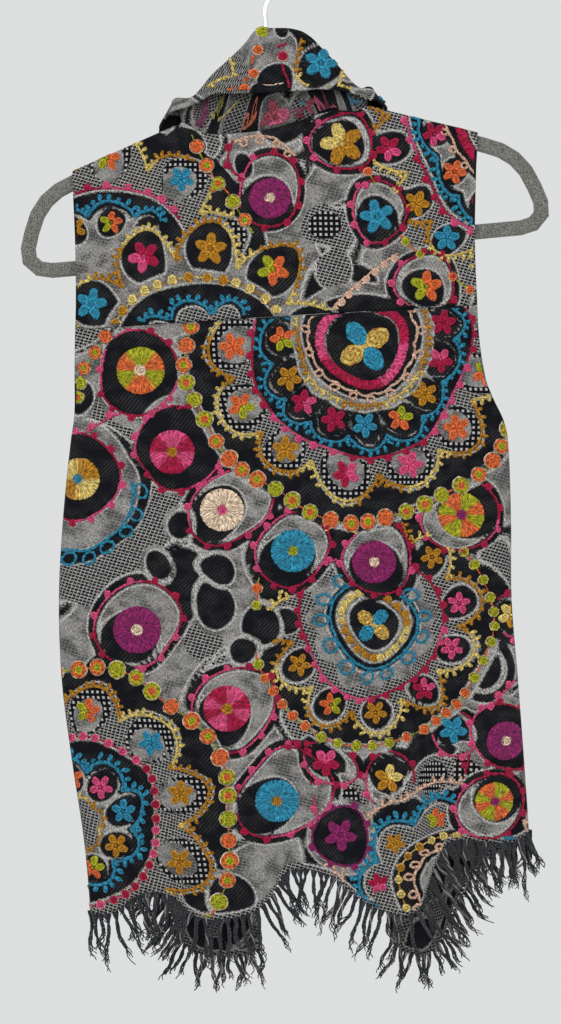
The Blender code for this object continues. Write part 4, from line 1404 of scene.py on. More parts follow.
class Stitching:
    """Raised thread on one panel, gathered in its flat millimetres and laid on its surface at the end."""

    def __init__(self, hidden):
        self.hidden = hidden
        self.points = []
        self.heights = []
        self.colours = []
        self.threads = []
        self.faces = []
        self.count = 0

    def add(self, points, heights, colours, threads):
        """One patch of thread, a grid of points with its height, colour and thread direction."""
        rows, columns = heights.shape
        self.faces.append(grid_faces(rows, columns) + self.count)
        self.points.append(points.reshape(-1, 2))
        self.heights.append(heights.ravel())
        self.colours.append(np.broadcast_to(colours, points.shape[:-1] + (3,)).reshape(-1, 3))
        self.threads.append(threads.reshape(-1, 2))
        self.count += rows * columns

    def cord(self, path, width, run, first, second, closed=False):
        """A cord of chain stitch: a round ridge with a bump for each stitch."""
        points, at, left = evenly(path, LINE_STEP, closed)
        shown = ~self.hidden(points[:, 0], points[:, 1])
        colours = in_turn(at, run, first, second)
        breaks = np.flatnonzero(np.diff(shown.astype(int))) + 1
        across = np.array(CORD_ACROSS)[:, None]
        rise = np.array(CORD_RISE)[:, None]
        for part in np.split(np.arange(len(points)), breaks):
            if not shown[part[0]] or len(part) < 3:
                continue
            swell = 1 + CORD_SWELL * np.sin(2 * np.pi * at[part] / STITCH_LENGTH)
            laid = strayed(points[part]) + left[part] * (across * swell * width / 2)[..., None]
            heights = rise * CORD_HEIGHT * width * swell
            along = at[part] + CORD_SLANT * across * width
            self.add(laid, heights, colours[part], np.stack([along, across * width + 0 * along], -1))

    def mound(self, centre, reach, turn, profile, segments, lay, colour_at, middle_of=None):
        """A raised spot of thread: an ellipse whose height follows a profile from its middle out.

        A part of a flower is given the flower's middle, so that its parts stray together.
        """
        if self.hidden(centre[0], centre[1]):
            return
        shares = np.array([step[0] for step in profile])[:, None]
        heights = np.array([step[1] for step in profile])[:, None]
        angle = np.linspace(0, 2 * np.pi, segments + 1)[None]
        along = shares * reach[0] * np.cos(angle)
        aside = shares * reach[1] * np.sin(angle)
        off_x = along * math.cos(turn) - aside * math.sin(turn)
        off_z = along * math.sin(turn) + aside * math.cos(turn)
        anchor = np.array(centre if middle_of is None else middle_of, float)
        points = strayed(anchor) + np.subtract(centre, anchor) + np.stack([off_x, off_z], -1)
        rounds = shares * (reach[0] + reach[1]) / 2 + 0 * angle
        spokes = angle * reach[0] + 0 * shares
        if lay == "spokes":
            threads = np.stack([spokes, rounds], -1)
        elif lay == "rounds":
            threads = np.stack([rounds, spokes], -1)
        else:
            threads = np.stack([aside, along], -1)
        self.add(points, heights + 0 * angle, colour_at(shares, angle), threads)


# Raised spots of thread: pairs of a share of the reach, from the middle out, and the height there
STRAND_BUMPS = ((0.0, 1.2), (0.4, 1.7), (0.8, 0.9), (1.0, -0.3))
TOOTH = (STRAND_BUMPS, 7, "along")
KNOT_PROFILE = ((0.0, 1.9), (0.5, 1.6), (0.85, 0.8), (1.0, -0.3))
PETAL_PROFILE = ((0.0, 0.7), (0.3, 1.0), (0.58, 1.75), (0.84, 1.15), (1.0, -0.3))
DISC_PROFILE = ((0.0, 1.0), (0.2, 1.2), (0.5, 1.7), (0.8, 1.6), (0.94, 1.0), (1.0, -0.3))
BEAD_PROFILE = (
    (0.0, 1.7),
    (0.2, 1.2),
    (0.36, 1.9),
    (0.52, 1.1),
    (0.7, 1.8),
    (0.84, 1.1),
    (0.93, 1.4),
    (1.0, -0.3),
)


def plain(name):
    """One thread colour all over a spot."""
    return lambda shares, angle: thread_colour(name) + 0 * (shares + angle)[..., None]


def sectors(first, second, count):
    """Satin sewn with a dye that changes round the disc, in uneven sectors."""

    def colour_at(shares, angle):
        wave = np.sin(count * angle + 0.6 * np.sin(2 * angle)) + 0.22 * np.sin(23 * angle) + 0 * shares
        return mixed(first, second, ease((wave + 0.25) / 0.5)[..., None])

    return colour_at


def coiled(first, second):
    """One colour wound round another, turn by turn."""

    def colour_at(shares, angle):
        return mixed(first, second, ease(np.sin(13 * shares + 2 * angle) + 0.5)[..., None])

    return colour_at


def ringed(centre, body, rim):
    """A coil of thread with another colour at its heart and a pale rim."""

    def colour_at(shares, angle):
        names = np.where(shares < 0.42, 0, np.where(shares < 0.9, 1, 2)) + 0 * angle.astype(int)
        return np.stack([thread_colour(name) for name in (centre, body, rim)])[names]

    return colour_at


# A flower's petals and knot as shares of its size
PETALS = 5
PETAL_AWAY = 0.28
PETAL_REACH = (0.245, 0.165)
FLOWER_KNOT = 0.07


def sew_flower(sewn, x, z, size, first, second, turn):
    """Satin petals round a knot, two of them in the second colour."""
    away = PETAL_AWAY * size
    reach = (PETAL_REACH[0] * size, PETAL_REACH[1] * size)
    for k in range(PETALS):
        angle = turn + 2 * math.pi * k / PETALS
        spot = (x + away * math.cos(angle), z + away * math.sin(angle))
        colour = second if k in (1, 2) else first
        sewn.mound(spot, reach, angle, PETAL_PROFILE, 12, "rounds", plain(colour), (x, z))
    sewn.mound((x, z), (FLOWER_KNOT * size, FLOWER_KNOT * size), 0, KNOT_PROFILE, 8, "rounds", plain(second))


# Beads narrower than this have no heart of a second colour
SMALL_BEAD = 11.0


def sew_line(sewn, line, path, closed=False):
    """A line of one kind along a path: plain, with picots, knots or loops, or a chain of beads."""
    points, at, left = evenly(path, 1.0, closed)
    outside = -left
    if line.kind in ("line", "picots", "knots"):
        sewn.cord(path, line.width, line.run, line.first, line.second, closed)
    if line.kind == "line" or line.spacing <= 0:
        return
    count = max(1, round(at[-1] / line.spacing))
    colours = in_turn(at, line.run, line.first, line.second)
    for k in range(count):
        number = min(round((k + 0.5) * len(at) / count), len(at) - 1)
        spot, out = points[number], outside[number]
        angle = math.atan2(out[1], out[0])
        colour = colours[number]

        def dyed(shares, angles, colour=colour):
            return colour + 0 * (shares + angles)[..., None]

        if line.kind == "picots":
            tooth = line.width * (0.95 + 0.26 * math.sin(2.1 * k) + 0.16 * math.sin(5.3 * k))
            tilt = angle + 0.35 * math.sin(3.7 * k)
            centre = spot + out * (0.35 * line.width + 0.75 * tooth)
            sewn.mound(centre, (tooth, line.width * 0.66), tilt, *TOOTH, dyed)
        elif line.kind == "knots":
            centre = spot + out * line.width * 0.75
            size = line.width * (1.5 + 0.14 * math.sin(1.7 * k))
            sewn.mound(centre, (size, size), angle, KNOT_PROFILE, 10, "rounds", dyed)
        elif line.kind == "loops":
            turns = np.linspace(0, 2 * np.pi, 22)[:-1]
            ring = spot + out * line.width * 0.42
            ring = ring + 0.36 * line.width * np.stack([np.cos(turns), 0.86 * np.sin(turns)], -1)
            sewn.cord(ring, 2.5, 0, line.first, line.first, closed=True)
        elif line.kind == "beads":
            body, other = line.first, line.second
            if not np.allclose(colour, thread_colour(line.first)):
                body, other = other, body
            heart = body if line.width < SMALL_BEAD or k % 3 == 0 else other
            size = line.width / 2 * (1 + 0.05 * math.sin(2.9 * k))
            coil = ringed(heart, body, "stone")
            sewn.mound(spot, (size, size * 0.94), angle, BEAD_PROFILE, 18, "rounds", coil)
    if line.kind == "beads":
        sewn.cord(path, 1.5, line.run, line.second, line.first, closed)
    if line.kind == "loops":
        sewn.cord(path, 2.5, 0, line.first, line.first, closed)


def sew_ring(sewn, motif, ring):
    """One ring of a medallion."""
    angle = np.linspace(0, 2 * np.pi, 361)[:-1]
    if ring.kind == "quatrefoil":
        for k in range(4):
            turn = motif.turn + 0.6 + k * math.pi / 2
            away = 0.52 * ring.width
            spot = (motif.x + away * math.cos(turn), motif.z + away * math.sin(turn))
            colour = ring.first if k % 2 else ring.second
            reach = (0.46 * ring.width, 0.34 * ring.width)
            dye = coiled(colour, "pale" if colour == "gold" else colour)
            sewn.mound(spot, reach, turn, BEAD_PROFILE, 22, "rounds", dye, (motif.x, motif.z))
        sewn.mound((motif.x, motif.z), (3.0, 3.0), 0, KNOT_PROFILE, 10, "rounds", plain("pale"))
        return
    if ring.kind == "flowers":
        pairs = [
            (ring.first, ring.first),
            (ring.second, ring.second),
            ("orange", "lime"),
            ("gold", "gold"),
            ("crimson", "pink"),
        ]
        for k in range(ring.lobes):
            turn = 2 * math.pi * k / ring.lobes + lobe_turn(ring.lobes, motif.turn)
            spot = (motif.x + ring.radius * math.cos(turn), motif.z + ring.radius * math.sin(turn))
            rim = 0.38 * ring.width
            if sewn.hidden(spot[0] + rim * np.cos(angle[::45]), spot[1] + rim * np.sin(angle[::45])).any():
                continue
            first, second = pairs[k % len(pairs)]
            sew_flower(sewn, *spot, ring.width, first, second, turn)
        return
    radius = lobed(angle, ring.radius, ring.swing, ring.lobes, motif.turn)
    path = np.stack([motif.x + radius * np.cos(angle), motif.z + radius * np.sin(angle)], -1)
    if ring.kind == "satin":
        points, at, left = evenly(path, 1.6, closed=True)
        across = np.array(SATIN_ACROSS)[:, None]
        heights = np.array(SATIN_RISE)[:, None] + 0 * at
        laid = strayed(points) + left * (across * ring.width / 2 + 0.4 * np.sin(at * 1.9))[..., None]
        threads = np.stack([at + 0 * across, across * ring.width / 2 + 0 * at], -1)
        sewn.add(laid, heights, in_turn(at, ring.run, ring.first, ring.second), threads)
        return
    sew_line(sewn, ring, path, closed=True)


def sew_design(design):
    """All the raised thread of one panel's design. What is sewn first hides what would cross it."""
    placed = []

    def hidden(x, z):
        inside = np.zeros(np.shape(x), bool)
        for at_x, at_z, reach in placed:
            inside |= np.hypot(np.asarray(x) - at_x, np.asarray(z) - at_z) < reach
        return inside

    sewn = Stitching(hidden)

    def sew_medallion(motif):
        for ring in motif.rings:
            sew_ring(sewn, motif, ring)
        if motif.rings:
            placed.append((motif.x, motif.z, reach_of(motif)))

    def sew_eye(eye):
        if hidden(eye.x, eye.z):
            return
        if eye.centre:
            dye = sectors(eye.first, eye.second, eye.sectors) if eye.sectors else plain(eye.first)
            disc = (eye.disc / 2, eye.disc / 2 * 0.97)
            heart = (0.13 * eye.disc, 0.13 * eye.disc)
            sewn.mound((eye.x, eye.z), disc, 0, DISC_PROFILE, 72, "spokes", dye)
            sewn.mound((eye.x, eye.z), heart, 0, BEAD_PROFILE, 16, "rounds", plain(eye.centre))
        else:
            sew_flower(sewn, eye.x, eye.z, eye.disc, eye.first, eye.second, eye.turn + 0.4)
        angle = np.linspace(0, 2 * np.pi, 241)[:-1]
        reach = drop_shape(angle, eye.reach, eye.stretch, eye.turn)
        path = np.stack([eye.x + reach * np.cos(angle), eye.z + reach * np.sin(angle)], -1)
        sew_line(sewn, Run("knots", 2.2, EYE_KNOTS, 58, *eye.knots, ()), path, closed=True)
        placed.append((eye.x, eye.z, eye.reach + EYE_CLEARANCE))

    for motif in design.medallions[: design.over]:
        sew_medallion(motif)
    for chain in design.runs:
        if chain.kind == "beads":
            path = smooth_path(chain.places)
            sew_line(sewn, chain, path)
            placed.extend((x, z, BEAD_CLEARANCE * chain.width) for x, z in path[::4])
    for eye in design.eyes:
        sew_eye(eye)
    for sprig in design.sprigs:
        if sprig.size and not hidden(sprig.x, sprig.z):
            sew_flower(sewn, sprig.x, sprig.z, sprig.size, sprig.first, sprig.second, sprig.turn)
        placed.append((sprig.x, sprig.z, sprig.oval + OVAL_CLEARANCE))
    for motif in design.medallions[design.over :]:
        sew_medallion(motif)
    for drop in design.drops:
        sew_eye(drop)
    for run in design.runs:
        if run.kind != "beads":
            sew_line(sewn, run, smooth_path(run.places))
    return sewn


# Step to either side of a place that its surface's direction is measured over
NUDGE = 0.4
# Strength of the dyes on the wrong side, and the grey that they fade to
MUTED = 0.55
MUTED_GREY = 0.12


def lay_on(name, dressing, finish, strength=1.0):
    """Sews a dressing's design and lays its thread on the cloth. What hangs over the edge is left off."""
    sewn = sew_design(dressing.design)
    flat = frayed(np.concatenate(sewn.points))
    held = dressing.hold(flat)
    faces = np.concatenate(sewn.faces)
    moved = np.linalg.norm(held - flat, axis=-1) > 0.01
    faces = faces[~moved[faces].all(axis=1)]
    u, v = held[:, 0], held[:, 1]
    along_u = dressing.face(u + NUDGE, v) - dressing.face(u - NUDGE, v)
    along_v = dressing.face(u, v + NUDGE) - dressing.face(u, v - NUDGE)
    normal = unit(np.cross(along_u, along_v)) * dressing.sign
    points = dressing.face(u, v) + normal * (np.concatenate(sewn.heights)[:, None] + dressing.lift)
    used = np.unique(faces)
    number = np.zeros(len(points), int)
    number[used] = np.arange(len(used))
    mesh = mesh_of(name, points[used], number[faces])
    unwrap(mesh, "thread", np.concatenate(sewn.threads)[used])
    dye_points(mesh, np.concatenate(sewn.colours)[used] * strength + MUTED_GREY * (1 - strength))
    piece = place(name, mesh, [finish])
    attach(piece, "root")
    return piece


def embroidery_thread():
    """Stranded viscose and wool thread: strong dyes, fluffy chain stitches, painted shade in the gaps between
    them, painted highlights.
    """
    made, tree, shader = new_material("embroidery_thread")
    maths, between = sums(tree)

    def noise(vector, scale, detail):
        inputs = {"Vector": vector, "Scale": scale, "Detail": detail}
        return node(tree, "ShaderNodeTexNoise", inputs).outputs[0]

    laid = node(tree, "ShaderNodeUVMap", uv_map="thread").outputs[0]
    drawn_out = node(tree, "ShaderNodeMapping", {"Vector": laid, "Scale": (1.0, 0.34, 1.0)}).outputs[0]
    across = node(tree, "ShaderNodeSeparateXYZ", {0: laid}).outputs[0]
    strand = maths("DIVIDE", across, STRAND_PITCH)
    number = maths("FLOOR", strand)
    shade = node(tree, "ShaderNodeTexWhiteNoise", {"W": number}, noise_dimensions="1D").outputs[0]
    ridge = maths("PINGPONG", strand, 0.5)
    stitches = noise(drawn_out, 0.75, 1.5)
    fluff_and_painted_light = noise(laid, 1.5, 2.0)
    tone_and_painted_light = maths("MULTIPLY_ADD", shade, 0.3, 0.7)
    # Painted light: darker at each strand's edges, which is painted shade in the gaps between strands, then
    # darker or lighter stitch by stitch, which is painted shade and painted highlight mixed with the thread's
    # own uneven tone
    tone_and_painted_light = maths("MULTIPLY", tone_and_painted_light, between(ridge, 0.0, 0.24, 0.45, 1.0))
    tone_and_painted_light = maths("MULTIPLY", tone_and_painted_light, between(stitches, 0.36, 0.64, 0.34, 1.44))
    tone_and_painted_light = maths("MULTIPLY", tone_and_painted_light, between(fluff_and_painted_light, 0.35, 0.65, 0.62, 1.3))
    dye = node(tree, "ShaderNodeAttribute", attribute_name="dye").outputs["Color"]
    colour = node(tree, "ShaderNodeVectorMath", {0: dye, "Scale": tone_and_painted_light}, operation="SCALE").outputs[0]
    raised = maths("ADD", ridge, maths("MULTIPLY", stitches, 1.6))
    bump = node(tree, "ShaderNodeBump", {"Height": raised, "Strength": 0.8, "Distance": 0.0009}).outputs[0]
    fill(tree, shader, {"Base Color": colour, "Normal": bump})
    fill(tree, shader, {"Roughness": 0.7, "Sheen Weight": 0.04, "Specular IOR Level": 0.2})
    return made


# Camera, floor and light
CAMERA_AT = (0.0173, -1.55, -0.4686)
LENS = 64.66
SENSOR = 36.0
FLOOR_HEIGHT = -1.75
FLOOR_RADIUS = 2.4
FLOOR_STEPS = 33
Lamp = namedtuple("Lamp", "name at size watts aim")
LAMPS = [
    Lamp("key", (-1.3, -2.2, 0.9), 1.6, 34, (0.02, 0, -0.45)),
    Lamp("fill", (1.8, -1.8, -0.2), 1.8, 12, (0.02, 0, -0.45)),
    Lamp("rim", (0.6, 1.8, 0.8), 1.4, 10, (0.02, 0, -0.4)),
]


def add_stage():
    """The camera at the photo's level view, a pale floor, and soft light from the upper left."""
    scene = bpy.context.scene
    lens = bpy.data.cameras.new("camera")
    lens.lens = LENS
    lens.sensor_width = SENSOR
    lens.sensor_fit = "AUTO"
    camera = bpy.data.objects.new("camera", lens)
    camera.location = CAMERA_AT
    camera.rotation_euler = (math.pi / 2, 0, 0)
    scene.collection.objects.link(camera)
    scene.camera = camera

    steps = np.linspace(-1, 1, FLOOR_STEPS)
    across, ahead = np.meshgrid(steps, steps)
    rounded = np.maximum(np.abs(across), np.abs(ahead)) / np.maximum(np.hypot(across, ahead), 0.001)
    reach = rounded * FLOOR_RADIUS
    spots = np.stack([across * reach, ahead * reach, np.full_like(reach, FLOOR_HEIGHT)], -1)
    spots = spots.reshape(-1, 3) / MM
    painted, tree, shader = new_material("painted_floor")
    grain = node(tree, "ShaderNodeTexNoise", {"Scale": 3.0, "Detail": 3.0}).outputs[0]
    tone = node(tree, "ShaderNodeMapRange", {0: grain, 3: 0.78, 4: 0.84}).outputs[0]
    fill(tree, shader, {"Base Color": tone, "Roughness": 0.7})
    faces = grid_faces(FLOOR_STEPS, FLOOR_STEPS, flip=True)
    floor = place("floor", mesh_of("floor", spots, faces), [painted])

    scene.view_settings.view_transform = "Standard"
    world = bpy.data.worlds.new("studio")
    scene.world = world
    world.use_nodes = True
    sky = world.node_tree.nodes["Background"]
    sky.inputs["Color"].default_value = linear("eef0f0")
    sky.inputs["Strength"].default_value = 0.85
    for lamp in LAMPS:
        light = bpy.data.lights.new(lamp.name, "AREA")
        light.size = lamp.size
        light.energy = lamp.watts
        thing = bpy.data.objects.new(lamp.name, light)
        thing.location = lamp.at
        away = np.subtract(lamp.at, lamp.aim)
        yaw = math.atan2(away[0], -away[1])
        pitch = math.atan2(math.hypot(away[0], away[1]), away[2])
        thing.rotation_euler = (pitch, 0, yaw)
        scene.collection.objects.link(thing)


def base_ground(x, z):
    """Distances into each woven ground before motifs lie on it: swirls of marl, black and twill."""
    swirl = np.sin(x / 21 + 1.7 * np.sin(z / 37)) + np.sin(z / 24 + 1.4 * np.sin(x / 33))
    leaf = np.sin(x / 15 - z / 27 + 1.1 * np.sin(z / 21)) + 0.5 * np.sin(x / 29 + z / 17)
    twill = 8 * (0.62 - leaf)
    return {
        "dark": np.minimum(11 * (1.05 - swirl), np.abs(twill) - 0.9),
        "twill": twill,
        "check": np.full_like(x, 20.0),
    }


FACING_BACK = np.array([0.0, -1.0, 0.0])
FACING_FRONT = np.array([0.0, 1.0, 0.0])


def collar_at(share, along):
    """Points of the collar: up the stand, over the turn and down the fall as along goes 0 to 3."""
    angle = np.radians(track(COLLAR, "heading", share))
    out = np.stack([-np.sin(angle), -np.cos(angle), np.zeros_like(angle)], axis=-1)
    lean = np.radians(track(COLLAR, "lean", share))[..., None]
    flare = np.radians(track(COLLAR, "flare", share))[..., None]
    up = hung(0.0, 1.0)
    rise = up * np.cos(lean) + out * np.sin(lean)
    drop = out * np.sin(flare) - up * np.cos(flare)
    stand = track(COLLAR, "stand", share)[..., None]
    fall = track(COLLAR, "fall", share)[..., None]
    neck = neckline_at(share)
    tucked = ease((np.abs(neck[..., 1]) - TUCK_START) / TUCK_SPAN)[..., None]
    low = np.clip(1 - along * 4, 0, 1)[..., None] * tucked
    inward = np.stack([np.zeros_like(share), -np.sign(neck[..., 1]), np.zeros_like(share)], axis=-1)
    base = neck + up * (COLLAR_SEAM - TUCK_DEPTH * low) + inward * TUCK_INSIDE * low
    on_stand = np.clip(along, 0, 1)[..., None]
    turn = np.pi * np.clip(along - 1, 0, 1)[..., None]
    on_fall = np.clip(along - 2, 0, 1)[..., None]
    crown = base + rise * stand + out * TURN_RADIUS
    turning = crown + (up * np.sin(turn) - out * np.cos(turn)) * TURN_RADIUS
    points = np.where(
        along[..., None] <= 1,
        base + rise * stand * on_stand,
        turning + drop * fall * on_fall,
    )
    return clear_of_body(points, share, on_fall[..., 0] > 0)


def neckline_at(share):
    """The neckline over a share: round the back between -0.5 and 0.5, down each front beyond."""
    back_across = NECK_HALF_WIDTH * np.sin(np.pi * np.clip(share, -0.5, 0.5))
    behind = hung(back_across, track(BACK_NECK, "height", back_across))
    behind[..., 1] = back_face(behind[..., 0], behind[..., 2])[..., 1]
    side = np.sign(share)
    t = 1 - (np.clip(np.abs(share), 0.5, 1.0) - 0.5) / 0.5
    z = np.full_like(share, -180.0)
    for _ in range(12):
        inner = middle(z) + half_width(z) * np.where(side < 0, neck_share(-1), neck_share(1))
        edge = np.where(side < 0, centre_edge(z, -1), centre_edge(z, 1))
        x = inner + (edge - inner) * (1 - t) ** 2
        z = front_top(x)
    before = front_face(x, z)
    return np.where((np.abs(share) > 0.5)[..., None], before, behind)


def clear_of_body(points, share, on_fall):
    """Points of the fall, held off the panel that they lie over."""
    clearance = WALL + COLLAR_REST
    x, z = points[..., 0], points[..., 2]
    top = back_top(x)
    depth = cloth_depth(x, np.minimum(z, top - OVER_ARM_ROUND), "back", BACK_FOLDS)
    y = np.minimum(points[..., 1], np.where(z < top + clearance, -depth - clearance, 1e6))
    top = front_top(x)
    depth = cloth_depth(x, np.minimum(z, top - OVER_ARM_ROUND), "front", FRONT_FOLDS)
    ahead = np.maximum(points[..., 1], np.where(z < top + clearance, depth + clearance, -1e6))
    y = np.where(np.abs(share) > FRONT_SHARE, ahead, y)
    points = points.copy()
    points[..., 1] = np.where(on_fall, y, points[..., 1])
    return points


COLLAR_COLUMNS = 190
COLLAR_ROWS = (14, 8, 18)
TURN_LENGTH = math.pi * TURN_RADIUS


def laid_flat():
    """How far across and how far down each share of the collar's fold lies once the cloth is laid flat."""
    share = np.linspace(-1, 1, 401)
    fold = collar_at(share, np.full_like(share, 1.5))
    fall = unit(collar_at(share, np.full_like(share, 3.0)) - collar_at(share, np.full_like(share, 2.0)))
    step = np.diff(fold, axis=0)
    down = (step * (fall[1:] + fall[:-1]) / 2).sum(axis=1)
    across = np.sqrt(np.maximum((step**2).sum(axis=1) - down**2, 0))
    across = np.concatenate([[0], np.cumsum(across)])
    down = np.concatenate([[0], np.cumsum(down)])
    return share, across - np.interp(0.0, share, across), down - np.interp(0.0, share, down)


FOLD_SHARES, FOLD_ACROSS, FOLD_DOWN = laid_flat()


def collar_places():
    """The share and the along of each point of the collar's grid."""
    share = np.linspace(-1, 1, COLLAR_COLUMNS + 1)
    along = np.concatenate([np.linspace(k, k + 1, n + 1)[1 if k else 0 :] for k, n in enumerate(COLLAR_ROWS)])
    return np.meshgrid(share, along)


def collar_flat(share, along):
    """Millimetres across and down the collar laid flat."""
    on_stand = (along - 1) * track(COLLAR, "stand", share)
    on_fall = TURN_LENGTH + (along - 2) * track(COLLAR, "fall", share)
    down = np.where(along < 1, on_stand, np.where(along < 2, (along - 1) * TURN_LENGTH, on_fall))
    return np.interp(share, FOLD_SHARES, FOLD_ACROSS), down + np.interp(share, FOLD_SHARES, FOLD_DOWN)


def facing_collar(grid):
    """Out of the collar's roll: away from its middle on the fall."""
    outward = np.zeros_like(grid)
    outward[-2] = unit(grid[-2] - grid[2])
    return outward


# Ravelled hems: locks of yarns that twist loosely round each other
Fringe = namedtuple("Fringe", "name panel spacing length pale_share")
FRINGES = [
    Fringe("back_fringe", "back_panel", 6.0, 38, 0.06),
    Fringe("front_left_fringe", "front_left", 4.8, 26, 0.26),
    Fringe("front_right_fringe", "front_right", 4.8, 26, 0.26),
]
# The fringe's dark yarns, with their shares of it, and its pale yarn
FRINGE_YARNS = ("1a1d26", "242834", "13151b", "393b42", "96938e")
DARK_SHARES = (0.36, 0.28, 0.24, 0.12)
YARNS_IN_LOCK = 5
YARN_RADIUS = 0.70
YARN_SIDES = 4
YARN_POINTS = 15
# Turns of a lock for each length of this many millimetres
LOCK_TWIST = 2.4
TWIST_LENGTH = 38
# How far a lock begins above the hem, and how much of its length lies there
ROOT_RISE = 2.0
ROOT_LENGTH = 4.0
FRINGE_SPLAY = 0.5
STEEPEST_SPLAY = 1.3


def ravelled_yarn():
    """Loose woollen warp ends: hairy charcoal yarn, some of it plied with grey or white."""
    made, tree, shader = new_material("ravelled_yarn")
    maths, between = sums(tree)
    laid = node(tree, "ShaderNodeUVMap", uv_map="thread").outputs[0]
    parts = node(tree, "ShaderNodeSeparateXYZ", {0: laid})
    ply = maths("PINGPONG", maths("ADD", parts.outputs[0], parts.outputs[1]), 1.0)
    hair = node(tree, "ShaderNodeTexNoise", {"Vector": laid, "Scale": 1.6, "Detail": 2.0}).outputs[0]
    tone = between(maths("MULTIPLY", ply, hair), 0.1, 0.5, 0.5, 1.4)
    dye = node(tree, "ShaderNodeAttribute", attribute_name="dye").outputs["Color"]
    colour = node(tree, "ShaderNodeVectorMath", {0: dye, "Scale": tone}, operation="SCALE").outputs[0]
    bump = node(tree, "ShaderNodeBump", {"Height": ply, "Strength": 0.7, "Distance": 0.0008}).outputs[0]
    fill(tree, shader, {"Base Color": colour, "Normal": bump})
    fill(tree, shader, {"Roughness": 0.9, "Sheen Weight": 0.2, "Specular IOR Level": 0.2})
    return made


def tubes(paths, radii, sides):
    """Round tubes along many paths at once: their points, faces and thread directions."""
    count, steps = paths.shape[:2]
    ahead = unit(np.gradient(paths, axis=1))
    aside = unit(np.cross(ahead, np.array([0.13, 1.0, 0.07])))
    third = np.cross(ahead, aside)
    angle = np.linspace(0, 2 * np.pi, sides, endpoint=False)
    ring = aside[:, :, None] * np.cos(angle)[:, None] + third[:, :, None] * np.sin(angle)[:, None]
    points = paths[:, :, None] + ring * radii[:, :, None, None]
    length = np.concatenate(
        [np.zeros((count, 1)), np.cumsum(np.linalg.norm(np.diff(paths, axis=1), axis=-1), axis=1)], axis=1
    )
    threads = np.stack(np.broadcast_arrays(length[:, :, None] / 1.6, angle * sides / np.pi), -1)
    one = grid_faces(steps, sides, wrap=True)
    faces = (one[None] + (np.arange(count) * steps * sides)[:, None, None]).reshape(-1, 4)
    return points.reshape(-1, 3), faces, threads.reshape(-1, 2)


def add_fringe(fringe, grid, finish):
    """Yarns of a ravelled hem, hung from a panel's last row."""
    chance = np.random.default_rng(len(fringe.name) + int(fringe.length))
    hem = grid[-1].copy()
    inward = 1.0 if hem[len(hem) // 2, 1] < 0 else -1.0
    hem[:, 1] += inward * WALL / 2
    lengths = np.concatenate([[0], np.cumsum(np.linalg.norm(np.diff(hem, axis=0), axis=1))])
    locks = int(lengths[-1] / fringe.spacing)
    at = (np.arange(locks) + 0.5) * lengths[-1] / locks
    roots = np.stack([np.interp(at, lengths, hem[:, k]) for k in range(3)], -1)
    run = np.gradient(roots, axis=0)
    sideways = np.where(np.abs(run[:, 0]) < 0.01, 0.01, run[:, 0])
    slope = np.clip(run[:, 2] / sideways, -STEEPEST_SPLAY, STEEPEST_SPLAY)
    number = np.arange(locks)
    uneven = 1 + 0.16 * np.sin(2.4 * number) + 0.10 * np.sin(5.1 * number)
    uneven = uneven + chance.uniform(-0.12, 0.10, locks)
    sway = 0.14 * np.sin(1.7 * number) + 0.08 * np.sin(4.3 * number)
    fall = unit(np.stack([slope * FRINGE_SPLAY + sway, 0.05 * np.sin(3.3 * number), -np.ones(locks)], -1))
    reach = (fringe.length + ROOT_LENGTH) * uneven
    t = np.linspace(0, 1, YARN_POINTS)
    paths, radii = [], []
    for yarn in range(YARNS_IN_LOCK):
        spread = (yarn - (YARNS_IN_LOCK - 1) / 2) * fringe.spacing / YARNS_IN_LOCK
        own_length = reach * (1 - 0.24 * chance.random(locks))
        phase = 2 * np.pi * yarn / YARNS_IN_LOCK + 0.4 * number
        turn = phase[:, None] + LOCK_TWIST * 2 * np.pi * t * own_length[:, None] / TWIST_LENGTH
        gathered = (1 - ease(t * 3.0))[None] * spread
        wave = 2.3 * np.sin(2 * np.pi * (1.1 * t[None] + 0.31 * number[:, None])) * t[None]
        wave = wave + 4.0 * np.sin(2.1 * number)[:, None] * t[None] ** 4
        open_end = 1.15 + 2.4 * t[None] ** 5 * chance.random(locks)[:, None]
        path = roots[:, None] + fall[:, None] * t[None, :, None] * own_length[:, None, None]
        path[..., 2] += ROOT_RISE * (1 - t)
        path[..., 0] += gathered + wave + open_end * np.cos(turn) * ease(t * 3)[None]
        path[..., 1] += open_end * 0.8 * np.sin(turn) * ease(t * 3)[None]
        paths.append(path)
        radii.append(np.broadcast_to(YARN_RADIUS * (1 - 0.45 * t**2), path.shape[:2]))
    paths = np.concatenate(paths)
    points, faces, threads = tubes(paths, np.concatenate(radii), YARN_SIDES)
    mesh = mesh_of(fringe.name + "_yarns", points, faces)
    unwrap(mesh, "thread", threads)
    shades = np.array([linear(c)[:3] for c in FRINGE_YARNS])
    dark_shares = np.array(DARK_SHARES) * (1 - fringe.pale_share)
    picks = chance.choice(len(shades), len(paths), p=[*dark_shares, fringe.pale_share])
    dye_points(mesh, np.repeat(shades[picks], len(points) // len(paths), axis=0))
    piece = place(mesh.name, mesh, [finish])
    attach(piece, "root")
    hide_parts(fringe.name)
    return piece


# How far raised thread keeps from a hem, a seam and a shoulder line, and the share of the width it may fill
HEM_CLEAR = 2.2
SEAM_CLEAR = 1.6
TOP_CLEAR = 3.0
FILLED_SHARE = 0.988


def hold_back(upper, lower):
    """Keeps a design's points on the back between two lines of height."""

    def hold(flat):
        z = np.clip(flat[:, 1], lower(flat[:, 0]) + HEM_CLEAR, upper(flat[:, 0]) - SEAM_CLEAR)
        share = np.clip(share_of(flat[:, 0], z), -FILLED_SHARE, FILLED_SHARE)
        return np.stack([back_column(share, z), z], -1)

    return hold


